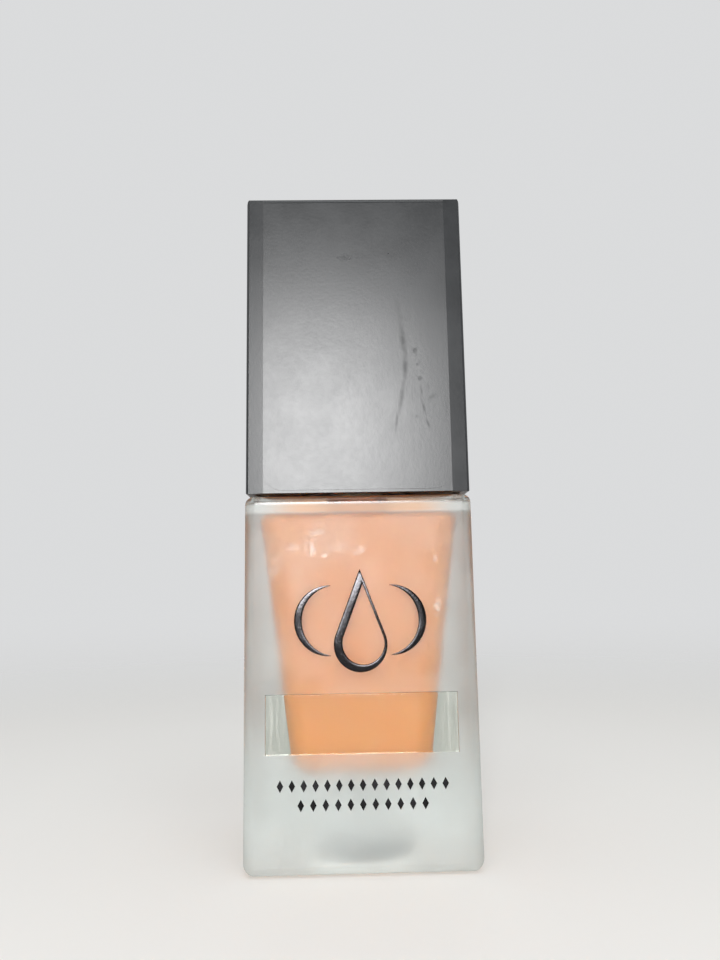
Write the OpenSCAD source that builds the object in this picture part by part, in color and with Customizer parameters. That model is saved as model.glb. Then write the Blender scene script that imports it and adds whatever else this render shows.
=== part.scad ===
// Foundation bottle: a heavy frosted glass block with a tapered well of fluid,
// a treatment pump screwed onto its neck, and a tall square overcap.
// It stands on its base. +Z is up, -Y is the front, and the origin is the
// centre of the base.

/* [Glass body] */
// Width of the glass body, side to side
body_w = 35; // [30:0.5:44]
// Depth of the glass body, front to back
body_d = 27; // [27:0.5:36]
// Height of the glass body, base to flat shoulder
body_h = 55; // [45:0.5:68]
// Rounding of the upright edges
body_edge_r = 1.8; // [0.8:0.1:3]
// Rounding of the edges round the base
base_edge_r = 1.7; // [0.6:0.1:3]
// Rounding of the edges round the shoulder
shoulder_edge_r = 1.2; // [0.6:0.1:1.8]
// Radius of the recess under the base
recess_r = 9.5; // [6:0.5:11]
// Depth of the recess under the base
recess_depth = 0.7; // [0.4:0.1:1.5]

/* [Well] */
// Solid glass below the fluid
well_base_t = 12.8; // [6:0.1:16]
// Glass between the top of the well and the shoulder
well_shoulder_t = 2.5; // [1.8:0.1:4]
// Side wall at the top of the well
side_wall_top = 2.3; // [1.8:0.1:3]
// Side wall at the foot of the well
side_wall_foot = 6.6; // [3:0.1:8]
// Front and back wall at the top of the well
face_wall_top = 2.3; // [1.8:0.1:3]
// Front and back wall at the foot of the well
face_wall_foot = 4.8; // [3:0.1:6]
// Rounding of the well's upright corners
well_corner_r = 3; // [2:0.1:4]
// Rounding round the foot of the well
well_foot_r = 4; // [2:0.1:5]
// Rounding round the top of the well
well_top_r = 1.2; // [0.6:0.1:1.8]

/* [Neck] */
// Height of the neck above the shoulder
neck_h = 10.5; // [9.5:0.1:13]
// Radius of the neck between the threads
neck_r = 7.7; // [7.4:0.05:8]
// Height of the thread ridge above the neck
thread_depth = 1.1; // [0.8:0.05:1.2]
// Rise of the thread in one turn
thread_pitch = 3.175; // [2.8:0.025:3.6]
// Width of the thread ridge at its root
thread_root_w = 1.6; // [1.3:0.05:1.6]
// Width of the thread ridge at its crest
thread_crest_w = 0.7; // [0.4:0.05:0.9]
// Turns of thread on the neck
neck_thread_turns = 1; // [0.8:0.1:1.2]
// Height of the start of the neck thread above the shoulder
neck_thread_start = 3.4; // [3.2:0.1:4.5]

/* [Collar] */
// Gap between the shoulder and the collar
collar_foot_gap = 0.8; // [0.5:0.1:1.5]
// Wall of the threaded collar
collar_wall = 0.7; // [0.6:0.05:1]
// Thickness of the collar's top plate
collar_top_t = 1.2; // [0.8:0.1:1.8]
// Radial gap between the thread crests and the wall they face
thread_gap = 0.2; // [0.15:0.05:0.4]
// Turns of thread inside the collar
collar_thread_turns = 0.6; // [0.4:0.1:0.8]
// Height of the start of the collar thread above the collar's foot
collar_thread_start = 1.5; // [1.1:0.1:2]
// Wall of the smooth outer sleeve
sleeve_wall = 0.8; // [0.5:0.05:0.8]
// Height of the well that the sleeve forms above the collar
sleeve_rise = 4.5; // [3:0.1:6]

/* [Pump housing] */
// Inner radius of the pump barrel
barrel_bore_r = 3.4; // [3:0.1:3.6]
// Wall of the pump barrel
barrel_wall = 0.8; // [0.6:0.05:1]
// Radial gap between the barrel and the bore of the neck
neck_bore_gap = 0.8; // [0.3:0.05:1]
// Thickness of the housing's flange
flange_t = 1.2; // [0.8:0.1:1.8]
// Thickness of the neck gasket
gasket_t = 1; // [0.6:0.1:1.5]
// Height of the lip that keeps the ball in
ball_lip_h = 0.4; // [0.3:0.05:0.6]
// Distance that the lip reaches over the ball
ball_lip_grip = 0.15; // [0.1:0.05:0.3]
// Thickness of the wall that seats the ball
seat_t = 1.2; // [0.8:0.1:1.6]
// Difference in radius between the ball and the hole that it closes
seat_grip = 0.4; // [0.35:0.05:0.7]
// Wall round the ball cage and the tube socket
tail_wall = 0.75; // [0.6:0.05:1]
// Depth of the dip tube's socket
socket_depth = 4; // [3:0.1:6]

/* [Pump parts] */
// Stroke of the pump
stroke = 4.5; // [3.5:0.1:5]
// Outer radius of the stem
stem_r = 1.75; // [1.6:0.05:2]
// Radius of the passage in the stem
stem_bore_r = 0.85; // [0.6:0.05:1]
// Radius of the cross hole that feeds the passage
stem_port_r = 0.4; // [0.3:0.05:0.6]
// Depth to which the piston's core is pressed into the stem
core_grip = 1.9; // [1.2:0.1:2.4]
// Height of the piston
piston_h = 3.85; // [3:0.05:4.5]
// Height of each lip of the piston
piston_lip_h = 0.9; // [0.6:0.05:1.2]
// Depth of the groove between the piston's lips
piston_groove = 0.55; // [0.3:0.05:0.8]
// Radial gap between the barrel and the two flanges that hold the piston
piston_flange_gap = 0.9; // [0.6:0.05:1]
// Thickness of those two flanges
piston_flange_t = 0.8; // [0.6:0.05:1.2]
// Radius of the inlet ball
ball_r = 1.5; // [1.4:0.05:1.6]
// Lift of the inlet ball off its seat
ball_lift = 0.8; // [0.4:0.1:1.2]
// Radius of the spring's wire
spring_wire_r = 0.24; // [0.18:0.02:0.3]
// Radial gap between the spring and the barrel
spring_gap = 1.05; // [0.5:0.05:1.1]
// Turns of the spring
spring_turns = 5.5; // [4:0.5:7]
// Length that the spring keeps beyond its closed coils when the pump is fully pressed
spring_spare = 1.1; // [0.5:0.1:2]
// Depth of the guide's plug in the barrel
guide_plug_l = 2; // [1.5:0.1:3]
// Radius of the guide's flange
guide_flange_r = 5.3; // [4.6:0.1:5.6]
// Thickness of the guide's flange
guide_flange_t = 1.6; // [1.2:0.1:2]
// Radius of the guide's tower
guide_tower_r = 3; // [2.6:0.1:3.4]
// Height of the guide's tower
guide_tower_h = 2.4; // [1:0.1:3]
// Outer radius of the dip tube
tube_r = 1.5; // [1.3:0.05:1.8]
// Wall of the dip tube
tube_wall = 0.5; // [0.3:0.05:0.6]
// Gap between the end of the dip tube and the foot of the well
tube_foot_gap = 1.5; // [0.8:0.1:4]
// Slant of the cut across the end of the dip tube, in degrees
tube_cut_a = 40; // [0:5:50]

/* [Pump head] */
// Radial gap between the head and the collar well that it sinks into
head_gap = 2.1; // [1.5:0.1:2.5]
// Height of the head
head_h = 20.2; // [18:0.1:23]
// Wall of the head
head_wall = 1.1; // [0.8:0.05:1.5]
// Thickness of the head's top at its rim
head_top_t = 2.6; // [2:0.1:4]
// Rounding of the head's upper edge
head_edge_r = 0.9; // [0.4:0.1:1.2]
// Rounding of the head's lower edge
head_foot_r = 0.3; // [0.1:0.05:0.5]
// Depth of the finger dish
dish_depth = 0.7; // [0.3:0.1:1]
// Radius of the sphere that the dish is cut with
dish_sphere_r = 28; // [20:1:40]
// Wall round the stem in the head
head_socket_wall = 1; // [0.8:0.05:1.3]
// Depth to which the stem is pressed in
stem_grip = 8; // [5:0.5:9]
// Distance of the spout's axis below the head's top
spout_drop = 6.5; // [5.5:0.1:8]
// Outer radius of the spout
spout_r = 2.5; // [2.2:0.1:3]
// Radial gap between the spout's end and the liner that it passes through
spout_gap = 0.55; // [0.4:0.05:1]
// Radius of the channel from the stem to the spout
channel_r = 0.9; // [0.6:0.05:1.1]
// Outer radius of the nozzle insert
nozzle_r = 1.6; // [1.3:0.05:1.8]
// Radius of the outlet
outlet_r = 0.7; // [0.4:0.05:0.9]
// Length of the nozzle insert
nozzle_l = 3.2; // [2:0.1:4]
// Distance that the insert stands out of the spout
nozzle_proud = 0.3; // [0.1:0.05:0.4]

/* [Overcap] */
// Head room between the pump head and the overcap's top
cap_head_room = 7.95; // [5:0.05:12]
// Gap between the shoulder and the overcap
cap_gap = 0.35; // [0.2:0.05:0.8]
// Distance that the overcap is set in from the glass on each side
cap_inset = 0.15; // [0:0.05:0.3]
// Wall of the overcap
cap_wall = 1.35; // [1:0.05:1.6]
// Thickness of the overcap's top
cap_top_t = 1.8; // [1.2:0.1:2.6]
// Rounding of the overcap's upright edges
cap_edge_r = 1.2; // [0.6:0.1:1.8]
// Rounding of the upright corners inside the overcap
cap_inner_r = 0.4; // [0.2:0.05:1]
// Rounding round the overcap's top
cap_top_r = 0.9; // [0.4:0.1:1.5]
// Rounding round the overcap's mouth
cap_mouth_r = 0.35; // [0.2:0.05:0.5]
// Distance of the raised panel from the overcap's sides
panel_inset = 2.75; // [2:0.05:5]
// Height of the raised panel above the rest of the face
panel_relief = 0.12; // [0.05:0.01:0.2]
// Fall of the face from the panel's side to the overcap's edge
panel_bevel = 0.16; // [0.05:0.01:0.25]
// Distance of the raised panel from the overcap's mouth
panel_foot = 0.5; // [0.4:0.05:2]
// Rounding of the panel's lower corners
panel_corner_r = 3; // [1:0.1:5]
// Wall of the liner's round sleeve
liner_wall = 1; // [0.6:0.05:1.05]
// Thickness of the liner's web at the mouth
liner_web_t = 1.2; // [0.8:0.1:2]
// Distance of the web above the mouth
liner_web_rise = 0.6; // [0.4:0.1:3]
// Thickness of the step that rests on the collar sleeve
liner_stop_t = 1; // [0.6:0.1:2]
// Radial overlap of that step on the collar sleeve
liner_stop_overlap = 0.55; // [0.3:0.05:0.6]

/* [Front decoration] */
// Thickness of the hot foil
foil_t = 0.04; // [0.02:0.01:0.08]
// Height of the middle of the emblem above the base
emblem_z = 36.1; // [32:0.1:40]
// Radius of the emblem's drop
drop_r = 4; // [3:0.1:4.4]
// Distance from the middle of the drop to its tip
drop_tip = 11.2; // [8:0.1:12]
// Heavier stroke of the drop
drop_stroke = 1.3; // [0.6:0.05:1.8]
// Lighter stroke of the drop
drop_thin_stroke = 0.45; // [0.2:0.05:0.6]
// Radius of the emblem's crescents
crescent_r = 5.2; // [4:0.1:5.4]
// Thickness of the crescents at their middle
crescent_t = 1.15; // [0.5:0.05:2]
// Half the width of the whole emblem
emblem_half_w = 9.9; // [8:0.1:12]
// Height of a foil lozenge
lozenge_h = 1.75; // [1:0.05:2.5]
// Width of a foil lozenge
lozenge_w = 0.95; // [0.5:0.05:1.5]
// Height of the middle of the upper row of lozenges
upper_row_z = 12.6; // [11:0.1:14]
// Height of the middle of the lower row of lozenges
lower_row_z = 9.9; // [7:0.1:10.5]
// Width of the upper row
upper_row_w = 25; // [15:0.5:28]
// Width of the lower row
lower_row_w = 19; // [10:0.5:28]
// Lozenges in the upper row
upper_row_count = 15; // [5:1:16]
// Lozenges in the lower row
lower_row_count = 11; // [4:1:12]
// Width of the clear label
label_w = 28.4; // [20:0.1:29]
// Height of the clear label
label_h = 8.6; // [5:0.1:9]
// Rounding of the clear label's corners
label_corner_r = 0.3; // [0.1:0.1:1]
// Thickness of the clear label
label_t = 0.05; // [0.03:0.01:0.1]
// Height of the middle of the label above the base
label_z = 21.2; // [19:0.1:23]
// Radius of the round base sticker
sticker_r = 8.2; // [5:0.1:9]
// Thickness of the base sticker
sticker_t = 0.1; // [0.05:0.01:0.2]

/* [Clearances] */
// Radial running clearance of a turning or sliding pump part
running_gap = 0.05; // [0.02:0.01:0.08]
// Radial clearance between the overcap's sleeve and the collar sleeve
cap_slide_gap = 0.06; // [0.02:0.01:0.1]
// Clearance between parts that pass without touching
free_gap = 0.2; // [0.1:0.05:0.4]
// Gap under a part that rests lightly on another
rest_gap = 0.03; // [0.02:0.01:0.05]

/* [Hidden] */

$fn = 96;
thread_steps = 32;
corner_steps = 6;
foot_steps = 6;
top_steps = 3;
wire_sides = 8;
wire_steps = 24;
cut = 1;                 // how far a cutting solid runs past what it cuts
far = 100;               // longer than the whole bottle is wide
bury = 0.2;              // how far a thread ridge is sunk into its wall
corner_tighten = 0.7;    // share of their radius that the well's corners lose at its ends

// Glass body and well
front_y = -body_d / 2;
well_foot_z = well_base_t;
well_top_z = body_h - well_shoulder_t;
neck_top_z = body_h + neck_h;

// Collar, from the neck outwards
thread_crest_r = neck_r + thread_depth;
collar_bore_r = thread_crest_r + thread_gap;
collar_thread_r = neck_r + thread_gap;
collar_r = collar_bore_r + collar_wall;
sleeve_r = collar_r + sleeve_wall;
flange_r = collar_thread_r - free_gap;
collar_foot_z = body_h + collar_foot_gap;

// Housing, from the neck upwards and then down the barrel
flange_z = neck_top_z + gasket_t;
flange_top_z = flange_z + flange_t;
collar_top_z = flange_top_z + collar_top_t;
sleeve_top_z = collar_top_z + sleeve_rise;
barrel_r = barrel_bore_r + barrel_wall;
neck_bore_r = barrel_r + neck_bore_gap;

// Guide, stem and piston, from the guide downwards
guide_foot_z = flange_top_z - guide_plug_l;
guide_top_z = flange_top_z + guide_flange_t + guide_tower_h;
stem_flange_z = guide_foot_z - piston_flange_t;
piston_z = stem_flange_z - rest_gap - piston_h;
core_top_z = piston_z - rest_gap;
core_z = core_top_z - piston_flange_t;
piston_waist_r = barrel_bore_r - running_gap - piston_groove;
piston_flange_r = barrel_bore_r - piston_flange_gap;
stem_port_z = core_top_z + core_grip + 2 * stem_port_r;

// Spring and inlet valve, from the piston downwards
spring_coil_r = barrel_bore_r - spring_gap - spring_wire_r;
spring_closed_l = 2 * spring_wire_r * (spring_turns + 1);
barrel_floor_z = core_z - stroke - spring_closed_l - spring_spare;
lip_z = barrel_floor_z - ball_lip_h;
ball_lip_r = ball_r - ball_lip_grip;
ball_over_lip = sqrt(pow(ball_r, 2) - pow(ball_lip_r, 2));
seat_hole_r = ball_r - seat_grip;
ball_over_seat = sqrt(pow(ball_r, 2) - pow(seat_hole_r, 2));
ball_z = lip_z - rest_gap - ball_over_lip - ball_lift;
seat_z = ball_z - rest_gap - ball_over_seat;
cage_r = ball_r + free_gap;
tube_top_z = seat_z - seat_t;
tail_r = cage_r + tail_wall;
tail_z = tube_top_z - socket_depth;

// Head
head_r = collar_r - head_gap;
head_z = collar_top_z + stroke + 2 * free_gap;
head_top_z = head_z + head_h;
head_socket_r = stem_r + head_socket_wall;
head_socket_z = guide_top_z + stroke + free_gap;
stem_top_z = head_socket_z + stem_grip;
spout_z = head_top_z - spout_drop;
nozzle_y = -(sleeve_r - liner_stop_overlap - spout_gap);
spout_y = nozzle_y + nozzle_proud;

// Overcap and liner
cap_w = body_w - 2 * cap_inset;
cap_d = body_d - 2 * cap_inset;
cap_z = body_h + cap_gap;
cap_h = head_top_z + cap_head_room + cap_top_t - cap_z;
cap_inner_w = cap_w - 2 * cap_wall;
cap_inner_d = cap_d - 2 * cap_wall - 2 * panel_relief;
liner_bore_r = sleeve_r + cap_slide_gap;
liner_r = liner_bore_r + liner_wall;
liner_z = cap_z + liner_web_rise;
liner_stop_r = sleeve_r - liner_stop_overlap;

// Decoration
foil_y = front_y - foil_t;

// ---- Shared shapes ----

// Rectangle w by h about the origin, with one radius for its upper corners
// and another for its lower corners.
module rounded_plate(w, h, top_r, foot_r) {
    difference() {
        square([w, h], center = true);
        for (side = [-1, 1], end = [[1, top_r], [-1, foot_r]]) {
            corner_cut(side * w / 2, end[0] * h / 2, side, end[0], end[1]);
        }
    }
}

// What a rounding of radius r takes off the corner at x, y.
module corner_cut(x, y, x_side, y_side, r) {
    translate([x - x_side * r, y - y_side * r])
        difference() {
            translate([x_side * (r + cut) / 2, y_side * (r + cut) / 2])
                square(r + cut, center = true);
            circle(r);
        }
}

// Block w by d by h on the origin, with rounded upright, upper and lower edges.
module rounded_block(w, d, h, edge_r, top_r, foot_r) {
    intersection() {
        linear_extrude(h) rounded_plate(w, d, edge_r, edge_r);
        translate([0, far / 2, h / 2])
            rotate([90, 0, 0])
                linear_extrude(far) rounded_plate(w, h, top_r, foot_r);
        translate([-far / 2, 0, h / 2])
            rotate([90, 0, 90])
                linear_extrude(far) rounded_plate(d, h, top_r, foot_r);
    }
}

// Ring or tube between two radii, standing on z.
module ring(outer_r, inner_r, z, h) {
    translate([0, 0, z])
        difference() {
            cylinder(h, r = outer_r);
            translate([0, 0, -cut]) cylinder(h + 2 * cut, r = inner_r);
        }
}

// Disc or rod of radius r, standing on z.
module disc(r, z, h) {
    translate([0, 0, z]) cylinder(h, r = r);
}

// One thread ridge, rising by thread_pitch in a turn and starting at angle
// start_a. root_r may be the smaller radius, for an outside thread, or the
// larger one, for an inside thread. The ridge fades in and out at its ends.
module thread_ridge(root_r, crest_r, turns, start_a) {
    last = ceil(turns * thread_steps);
    fade_steps = 4;
    flank = [[0, -thread_root_w / 2], [1, -thread_crest_w / 2],
             [1, thread_crest_w / 2], [0, thread_root_w / 2]];
    points = [
        for (i = [0:last])
            let (a = start_a + 360 * turns * i / last,
                 z = thread_pitch * turns * i / last,
                 fade = max(0.1, min(1, i / fade_steps, (last - i) / fade_steps)))
            for (f = flank)
                let (r = root_r + (crest_r - root_r) * f[0] * fade)
                [r * cos(a), r * sin(a), z + f[1]]
    ];
    walls = [
        for (i = [0:last - 1], j = [0:3])
            [4 * i + j, 4 * i + (j + 1) % 4, 4 * i + 4 + (j + 1) % 4, 4 * i + 4 + j]
    ];
    faces = concat([[3, 2, 1, 0]], [[for (j = [0:3]) 4 * last + j]], walls);
    outside = crest_r > root_r;
    polyhedron(points, outside ? faces : [for (f = faces) [for (j = [3:-1:0]) f[j]]]);
}

// ---- Bottle ----

// Outline of the well at height z, as points round a rounded rectangle w by d.
function well_outline(w, d, r, z) = [
    for (q = [0:3], i = [0:corner_steps])
        let (a = 90 * (q + i / corner_steps),
             x_side = q == 0 || q == 3 ? 1 : -1,
             y_side = q < 2 ? 1 : -1)
        [x_side * (w / 2 - r) + r * cos(a), y_side * (d / 2 - r) + r * sin(a), z]
];

// The tapered space that the fluid fills, up to the shoulder. Each level is
// [share of the way up the straight walls, inset, height].
module well() {
    levels = concat(
        [for (k = [0:foot_steps])
            let (a = 90 * k / foot_steps)
            [0, well_foot_r * (1 - sin(a)), well_foot_z + well_foot_r * (1 - cos(a))]],
        [for (k = [0:top_steps])
            let (a = 90 * k / top_steps)
            [1, well_top_r * (1 - cos(a)), well_top_z - well_top_r * (1 - sin(a))]]
    );
    count = 4 * (corner_steps + 1);
    points = [
        for (level = levels)
            let (w = body_w - 2 * (level[0] == 0 ? side_wall_foot : side_wall_top),
                 d = body_d - 2 * (level[0] == 0 ? face_wall_foot : face_wall_top),
                 tighten = level[1] / (level[0] == 0 ? well_foot_r : well_top_r),
                 r = well_corner_r * (1 - corner_tighten * tighten))
            each well_outline(w - 2 * level[1], d - 2 * level[1], r, level[2])
    ];
    last = len(levels) - 1;
    walls = [
        for (i = [0:last - 1], j = [0:count - 1])
            let (k = (j + 1) % count, a = count * i, b = a + count)
            each [[a + j, b + k, a + k], [a + j, b + j, b + k]]
    ];
    foot = [for (j = [0:count - 1]) j];
    top = [for (j = [count - 1:-1:0]) count * last + j];
    polyhedron(points, concat([foot, top], walls));
}

module neck_bore(top_z) {
    disc(neck_bore_r, well_top_z - well_top_r, top_z - well_top_z + well_top_r);
}

module glass_bottle() {
    color([0.80, 0.82, 0.79])
        difference() {
            union() {
                rounded_block(body_w, body_d, body_h, body_edge_r, shoulder_edge_r, base_edge_r);
                disc(neck_r, body_h - cut, neck_h + cut);
                translate([0, 0, body_h + neck_thread_start])
                    thread_ridge(neck_r - bury, thread_crest_r, neck_thread_turns, 0);
            }
            well();
            neck_bore(neck_top_z + cut);
            disc(recess_r, -cut, recess_depth + cut);
        }
}

// Room that the fluid leaves for the pump and its tube.
module pump_room() {
    disc(barrel_r + free_gap, lip_z - free_gap, far);
    disc(tail_r + free_gap, tail_z - free_gap, far);
    disc(tube_r + free_gap, well_foot_z + tube_foot_gap - free_gap, far);
}

module foundation_fluid() {
    color([0.90, 0.70, 0.56])
        difference() {
            union() {
                well();
                neck_bore(body_h);
            }
            pump_room();
        }
}

module base_sticker() {
    color("white") disc(sticker_r, recess_depth - sticker_t, sticker_t);
}

// ---- Front decoration ----

// Stands a flat shape on the front face, t thick, with its origin at height z.
module on_front(z, t) {
    translate([0, front_y, z]) rotate([90, 0, 0]) linear_extrude(t) children();
}

// Falling drop about the middle of its round part, with straight sides that
// run off the arc to the tip.
module drop(r, tip) {
    steps = 60;
    off_a = acos(r / tip);
    polygon(concat(
        [[0, tip]],
        [for (i = [0:steps])
            let (a = 90 + off_a + i * (360 - 2 * off_a) / steps)
            [r * cos(a), r * sin(a)]]
    ));
}

module drop_outline() {
    inner_r = drop_r - (drop_stroke + drop_thin_stroke) / 2;
    lean = (drop_stroke - drop_thin_stroke) / 2;
    difference() {
        drop(drop_r, drop_tip);
        translate([lean, lean / 2]) drop(inner_r, drop_tip * inner_r / drop_r);
    }
}

module crescent(side) {
    middle_x = side * (emblem_half_w - crescent_r);
    difference() {
        translate([middle_x, 0]) circle(crescent_r);
        translate([middle_x - side * crescent_t, 0]) circle(crescent_r);
    }
}

module emblem_foil() {
    color("silver")
        on_front(emblem_z, foil_t) {
            translate([0, -(drop_tip - drop_r) / 2]) drop_outline();
            for (side = [-1, 1]) crescent(side);
        }
}

module lozenge_row(width, count) {
    step = (width - lozenge_w) / (count - 1);
    for (i = [0:count - 1])
        translate([-(width - lozenge_w) / 2 + i * step, 0])
            polygon([[-lozenge_w / 2, 0], [0, -lozenge_h / 2],
                     [lozenge_w / 2, 0], [0, lozenge_h / 2]]);
}

module rule_foil() {
    color("silver") {
        on_front(upper_row_z, foil_t) lozenge_row(upper_row_w, upper_row_count);
        on_front(lower_row_z, foil_t) lozenge_row(lower_row_w, lower_row_count);
    }
}

module clear_label() {
    color([0.85, 0.87, 0.84, 0.4])
        on_front(label_z, label_t)
            rounded_plate(label_w, label_h, label_corner_r, label_corner_r);
}

// ---- Pump housing and what is fixed to it ----

module neck_gasket() {
    color("white") ring(flange_r, barrel_r + running_gap, neck_top_z, gasket_t);
}

module pump_housing() {
    color([0.93, 0.93, 0.91])
        difference() {
            union() {
                disc(flange_r, flange_z, flange_t);
                disc(barrel_r, lip_z, flange_z - lip_z + flange_t);
                disc(tail_r, tail_z, lip_z - tail_z + ball_lip_h);
            }
            disc(barrel_bore_r, barrel_floor_z, far);
            disc(ball_lip_r, lip_z - cut, far);
            disc(cage_r, seat_z, lip_z - seat_z);
            disc(seat_hole_r, tube_top_z - cut, far);
            disc(tube_r, tail_z - cut, socket_depth + cut);
        }
}

module stem_guide() {
    color([0.12, 0.12, 0.13])
        difference() {
            union() {
                disc(barrel_bore_r, guide_foot_z, guide_plug_l);
                disc(guide_flange_r, flange_top_z, guide_flange_t);
                disc(guide_tower_r, flange_top_z, guide_flange_t + guide_tower_h);
            }
            disc(stem_r + running_gap, guide_foot_z - cut, far);
        }
}

// Spring wire swept along its helix, closed flat on its end coils.
module return_spring() {
    foot_z = barrel_floor_z + spring_wire_r + rest_gap;
    top_z = core_z - spring_wire_r - rest_gap;
    last = round(spring_turns * wire_steps);
    points = [
        for (i = [0:last])
            let (a = 360 * i / wire_steps,
                 t = min(1, max(0, (i / wire_steps - 1) / (spring_turns - 2))),
                 coil_gap = 2 * spring_wire_r,
                 low = foot_z + coil_gap * min(1, i / wire_steps),
                 rise = top_z - foot_z - 2 * coil_gap,
                 high = coil_gap * max(0, i / wire_steps - spring_turns + 1))
            for (j = [0:wire_sides - 1])
                let (b = 360 * j / wire_sides,
                     r = spring_coil_r + spring_wire_r * cos(b))
                [r * cos(a), r * sin(a), low + rise * t + high + spring_wire_r * sin(b)]
    ];
    walls = [
        for (i = [0:last - 1], j = [0:wire_sides - 1])
            let (k = (j + 1) % wire_sides, a = wire_sides * i, b = a + wire_sides)
            each [[a + j, b + k, a + k], [a + j, b + j, b + k]]
    ];
    foot = [for (j = [0:wire_sides - 1]) j];
    top = [for (j = [wire_sides - 1:-1:0]) wire_sides * last + j];
    color("silver") polyhedron(points, concat([foot, top], walls));
}

module dip_tube() {
    foot_z = well_foot_z + tube_foot_gap;
    color([0.92, 0.93, 0.90])
        difference() {
            ring(tube_r, tube_r - tube_wall, foot_z, tube_top_z - foot_z);
            translate([tube_r, 0, foot_z])
                rotate([0, tube_cut_a, 0])
                    translate([-far, -far / 2, -far])
                        cube([2 * far, far, far]);
        }
}

module inlet_ball() {
    color("silver") translate([0, 0, ball_z]) sphere(ball_r);
}

// ---- Piston and head ----

module piston_seal() {
    lip_r = barrel_bore_r - running_gap;
    color([0.95, 0.95, 0.93])
        difference() {
            union() {
                disc(piston_waist_r, piston_z, piston_h);
                disc(lip_r, piston_z, piston_lip_h);
                disc(lip_r, piston_z + piston_h - piston_lip_h, piston_lip_h);
            }
            disc(stem_r + running_gap, piston_z - cut, far);
        }
}

module piston_core() {
    color([0.95, 0.95, 0.93]) {
        disc(piston_flange_r, core_z, piston_flange_t);
        disc(stem_bore_r, core_z, piston_flange_t + core_grip);
    }
}

module stem_tube() {
    color([0.95, 0.95, 0.93])
        difference() {
            union() {
                disc(stem_r, core_top_z, stem_top_z - core_top_z);
                disc(piston_flange_r, stem_flange_z, piston_flange_t);
            }
            disc(stem_bore_r, core_top_z - cut, far);
            translate([0, 0, stem_port_z])
                rotate([0, 90, 0])
                    cylinder(2 * stem_r + 2 * cut, r = stem_port_r, center = true);
        }
}

// Round bar along the spout's axis, from y_from forwards to y_to.
module spout_bar(r, y_from, y_to) {
    translate([0, y_from, spout_z]) rotate([90, 0, 0]) cylinder(y_from - y_to, r = r);
}

module head_outer() {
    translate([0, 0, head_z])
        rotate_extrude()
            intersection() {
                translate([0, head_h / 2])
                    rounded_plate(2 * head_r, head_h, head_edge_r, head_foot_r);
                square([head_r + cut, head_h]);
            }
}

module actuator() {
    hollow_h = head_h - head_top_t;
    color([0.10, 0.10, 0.11])
        difference() {
            union() {
                difference() {
                    head_outer();
                    disc(head_r - head_wall, head_z - cut, hollow_h + cut);
                }
                disc(head_socket_r, head_socket_z, head_z + hollow_h - head_socket_z + cut);
                spout_bar(spout_r, 0, spout_y);
            }
            disc(stem_r, head_socket_z - cut, stem_grip + cut);
            disc(channel_r, stem_top_z - cut, spout_z - stem_top_z + cut);
            spout_bar(channel_r, 0, spout_y - cut);
            spout_bar(nozzle_r, nozzle_y + nozzle_l, spout_y - cut);
            translate([0, 0, head_top_z - dish_depth + dish_sphere_r]) sphere(dish_sphere_r);
        }
}

module nozzle_insert() {
    color([0.25, 0.25, 0.26])
        difference() {
            spout_bar(nozzle_r, nozzle_y + nozzle_l, nozzle_y);
            spout_bar(outlet_r, nozzle_y + nozzle_l + cut, nozzle_y - cut);
        }
}

// ---- Collar ----

module screw_collar() {
    // The inside thread runs midway between two turns of the neck's thread.
    thread_z = collar_foot_z + collar_thread_start;
    lag_z = thread_z - (body_h + neck_thread_start - thread_pitch / 2);
    color([0.10, 0.10, 0.11])
        union() {
            difference() {
                disc(collar_r, collar_foot_z, collar_top_z - collar_foot_z);
                disc(collar_bore_r, collar_foot_z - cut, flange_top_z - collar_foot_z + cut);
                disc(guide_flange_r + free_gap, flange_top_z - cut, far);
            }
            translate([0, 0, thread_z])
                thread_ridge(collar_bore_r + bury, collar_thread_r, collar_thread_turns,
                             360 * lag_z / thread_pitch);
        }
}

module collar_sleeve() {
    color([0.09, 0.09, 0.10])
        ring(sleeve_r, collar_r, collar_foot_z, sleeve_top_z - collar_foot_z);
}

// ---- Overcap ----

// Everything in front of a face's lower level, but for the raised panel. The
// face falls away from the panel's sides to the overcap's edges.
module beside_panel() {
    panel_w = cap_w - 2 * panel_inset;
    panel_top = cap_h + cut;
    fall = panel_bevel / panel_inset;
    for (side = [-1, 1])
        translate([side * panel_w / 2, 0, -cut])
            linear_extrude(cap_h + 2 * cut)
                polygon([[0, 0], [side * far, far * fall], [side * far, -far], [0, -far]]);
    rotate([90, 0, 0])
        linear_extrude(far)
            difference() {
                translate([-far / 2, -cut]) square([far, cap_h + 2 * cut]);
                translate([0, (panel_foot + panel_top) / 2 + cut])
                    rounded_plate(panel_w, panel_top - panel_foot + 2 * cut, cut / 2,
                                  panel_corner_r);
            }
}

module overcap_shell() {
    color([0.07, 0.075, 0.08])
        translate([0, 0, cap_z])
            difference() {
                rounded_block(cap_w, cap_d, cap_h, cap_edge_r, cap_top_r, cap_mouth_r);
                for (turn = [0, 180])
                    rotate([0, 0, turn])
                        translate([0, -cap_d / 2 + panel_relief, 0]) beside_panel();
                translate([0, 0, -cut])
                    linear_extrude(cap_h - cap_top_t + cut)
                        rounded_plate(cap_inner_w, cap_inner_d, cap_inner_r, cap_inner_r);
            }
}

module overcap_liner() {
    stop_z = sleeve_top_z;
    color([0.14, 0.14, 0.15])
        difference() {
            union() {
                translate([0, 0, liner_z])
                    linear_extrude(liner_web_t)
                        rounded_plate(cap_inner_w, cap_inner_d, cap_inner_r, cap_inner_r);
                disc(liner_r, liner_z, stop_z + liner_stop_t - liner_z);
            }
            disc(liner_bore_r, liner_z - cut, stop_z - liner_z + cut);
            disc(liner_stop_r, liner_z, far);
        }
}

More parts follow.
